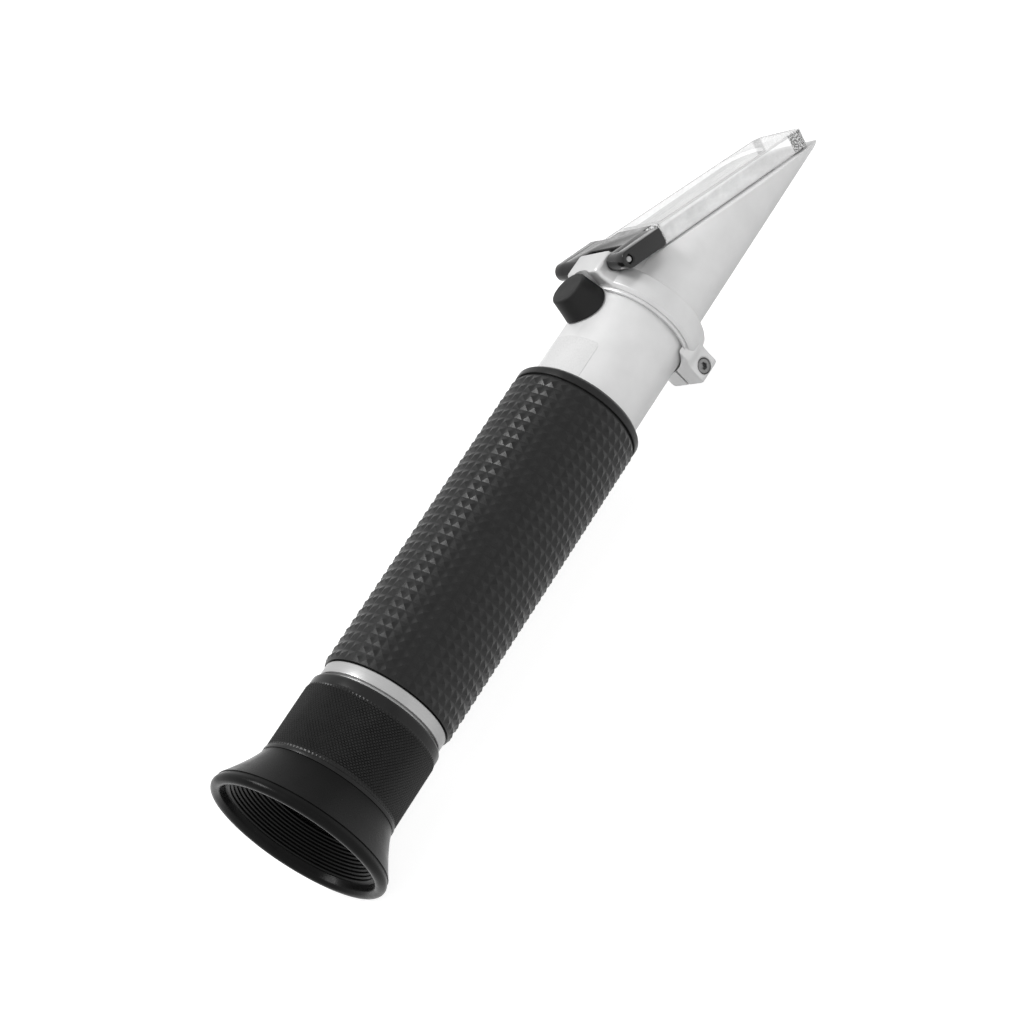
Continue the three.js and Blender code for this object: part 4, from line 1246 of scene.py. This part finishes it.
def hinge_yoke():
    top = KNUCKLE_RADIUS
    near_inner = YOKE_NEAR + ARM_WIDTH
    far_inner = YOKE_FAR - ARM_WIDTH

    def web_side(side, inner):
        return [
            (NOTCH_FRONT, side * NOTCH_HALF),
            (0, side * NOTCH_HALF),
            (0, inner),
            (WEB_FRONT, inner),
            (WEB_FRONT, side * TONGUE_HALF),
            (TONGUE_FRONT, side * TONGUE_HALF),
        ]

    web = web_side(-1, near_inner - YOKE_EDGE) + web_side(1, far_inner + YOKE_EDGE)[::-1]
    yoke = plan_plate("cover_yoke", web, WEB_LOW, top)
    bevelled(yoke, WEB_EDGE, 2, 60)

    outline = arc((0, 0), top, 90, 270, 24)
    outline += arc((ARM_FRONT - ARM_CORNER, ARM_CORNER - top), ARM_CORNER, -90, 0, 8)
    outline.append((ARM_FRONT, top))
    for name, low, high in (("near_arm", YOKE_NEAR, near_inner), ("far_arm", far_inner, YOKE_FAR)):
        arm = side_plate(name, outline, low, high)
        bevelled(arm, YOKE_EDGE, 3, 60)
        join(yoke, arm)
    inside = ARM_WIDTH / 2
    radius = top - KNUCKLE_STEP
    join(
        yoke,
        crosswise("near_knuckle", radius, PIN, YOKE_NEAR + inside, -NOTCH_HALF, soft=YOKE_EDGE),
        crosswise("far_knuckle", radius, PIN, NOTCH_HALF, YOKE_FAR - inside, soft=YOKE_EDGE),
    )

    radius = half_width("hinge_pin") + CUT_GAP
    span = YOKE_FAR - YOKE_NEAR
    rim = sunk_rim(radius, COUNTERSINK)
    profile = rim + [(span - depth, r) for depth, r in reversed(rim)]
    hole = spun("pin_hole", profile, (PIN.x, YOKE_NEAR, PIN.z), (0, 1, 0))
    cut(yoke, hole)
    finish_piece(yoke, "cover", "yoke_plastic", "hinge_yoke", sharp=38)


# Clear cover with its sunk window

COVER_HALF = 7.7 * MM
COVER_REAR = 3.4 * MM
COVER_FRONT = 56.2 * MM
COVER_LOW = -2.65 * MM
COVER_THICKNESS = 3.8 * MM
COVER_WEDGE = 0.7 * MM  # how much thicker the plate is at the yoke
COVER_CORNER = 1.4 * MM
COVER_EDGE = 0.3 * MM
WINDOW_REAR = 13.9 * MM
WINDOW_FRONT = 48.5 * MM
WINDOW_HALF = 6.4 * MM
WINDOW_FLOOR = 3.2 * MM  # the sunk floor as it looks through the plate
LEDGE = 0.45 * MM
FACE_TURN = 0.985  # a face lies along a main direction where its normal has this share of it
RIM_SHARE = 0.8


def mark_faces(plate):
    """Marks the rounded rims and the faces that lie along the slanted face, for the cover's material."""
    for name in (EDGE_FACES, TOP_FACES):
        plate.data.attributes.new(name, "FLOAT", "FACE")
    rims, tops = plate.data.attributes[EDGE_FACES], plate.data.attributes[TOP_FACES]
    for face, rim, top in zip(plate.data.polygons, rims.data, tops.data):
        lift = abs(face.normal.dot(OFF))
        straight = max(abs(face.normal.dot(ALONG)), abs(face.normal.y), lift)
        window_wall = lift < 0.02 and abs(face.center.y) < WINDOW_HALF + NEAR
        top.value = 1.0 if lift > FACE_TURN else 0.0
        rim.value = RIM_SHARE if straight < FACE_TURN and not window_wall else 0.0


def cover_plate():
    top = COVER_LOW + COVER_THICKNESS
    above = top + OVERRUN
    step = WEB_FRONT + SEAT_GAP
    plate = side_plate("clear_cover", [
        (COVER_REAR, COVER_LOW),
        (COVER_FRONT, COVER_LOW),
        (COVER_FRONT, top),
        (step, top + COVER_WEDGE),
        (step, LEDGE),
        (COVER_REAR, LEDGE),
    ], -COVER_HALF, COVER_HALF)
    corner_rear = COVER_FRONT - COVER_CORNER
    past = COVER_FRONT + OVERRUN
    for side in (-1, 1):
        outer = side * (COVER_HALF + OVERRUN)
        corner = plan_plate("corner", [
            (corner_rear, side * COVER_HALF),
            (past, side * (COVER_HALF - COVER_CORNER - OVERRUN)),
            (past, outer),
            (corner_rear, outer),
        ], COVER_LOW - OVERRUN, above)
        cut(plate, corner)
    bevelled(plate, COVER_EDGE, 3, 30)

    tongue_half = TONGUE_HALF + SEAT_GAP
    tongue = plan_plate("tongue", [
        (WEB_FRONT - MM, -tongue_half),
        (TONGUE_FRONT + SEAT_GAP, -tongue_half),
        (TONGUE_FRONT + SEAT_GAP, tongue_half),
        (WEB_FRONT - MM, tongue_half),
    ], LEDGE, above)
    round_end = arc((WINDOW_FRONT - WINDOW_HALF, 0), WINDOW_HALF, -90, 90, 40)
    outline = [(WINDOW_REAR, -WINDOW_HALF)] + round_end + [(WINDOW_REAR, WINDOW_HALF)]
    window = plan_plate("window", outline, COVER_LOW + WINDOW_FLOOR, above)
    cut(plate, tongue, window)
    finish_piece(plate, "cover", "clear_plastic", "cover_plate", sharp=30)
    mark_faces(plate)


# Bush and slotted screw that show when the cap is off

BUSH_HEAD = 1.5 * MM  # where the bush widens, over its foot
BUSH_SPIGOT = 2.2 * MM
BUSH_SPIGOT_LENGTH = 2 * MM
BUSH_BORE = 1.3 * MM
BUSH_EDGE = 0.2 * MM
SHANK = 1.15 * MM
SHANK_OVERLAP = 0.3 * MM
SHANK_EDGE = 0.15 * MM
SLOT = 0.6 * MM


def adjusting_parts():
    low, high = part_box("calibration_bush")
    x = middle_of("calibration_bush").x
    bush = upright("screw_bush", half_width("calibration_bush"), x, low.z + BUSH_HEAD, high.z, BUSH_EDGE)
    join(bush, upright("spigot", BUSH_SPIGOT, x, low.z, low.z + BUSH_SPIGOT_LENGTH))
    cut(bush, upright("bore", BUSH_BORE, x, AXIS, high.z + OVERRUN))
    finish_piece(bush, "housing", "brass", "calibration_bush")

    head_low = high.z + CUT_GAP
    low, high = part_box("calibration_screw")
    radius = half_width("calibration_screw")
    screw = upright("slotted_screw", radius, x, head_low, high.z, BUSH_EDGE)
    join(screw, upright("shank", SHANK, x, low.z, head_low + SHANK_OVERLAP, SHANK_EDGE))
    slot = box(
        "slot",
        (x - 2 * radius, -SLOT / 2, high.z - SLOT),
        (x + 2 * radius, SLOT / 2, high.z + OVERRUN),
    )
    cut(screw, slot)
    finish_piece(screw, "adjuster", "brass", "calibration_screw")


# Carried-over nodes


def dress_inner_nodes():
    slots = {part["node"]: part["material_slot"] for part in frame["record"]["subparts"]}
    for name, node in frame["nodes"].items():
        node.data.materials.clear()
        node.data.materials.append(LOOKS[slots[name]])


camera_and_stage()
dress_inner_nodes()
eyecup()
focus_barrel()
mount_band()
grip()
tube()
tube_film()
adjusting_parts()
screw_cap()
prism_head()
clamp_ring()
clamp_screw()
hinge_pin()
hinge_yoke()
cover_plate()
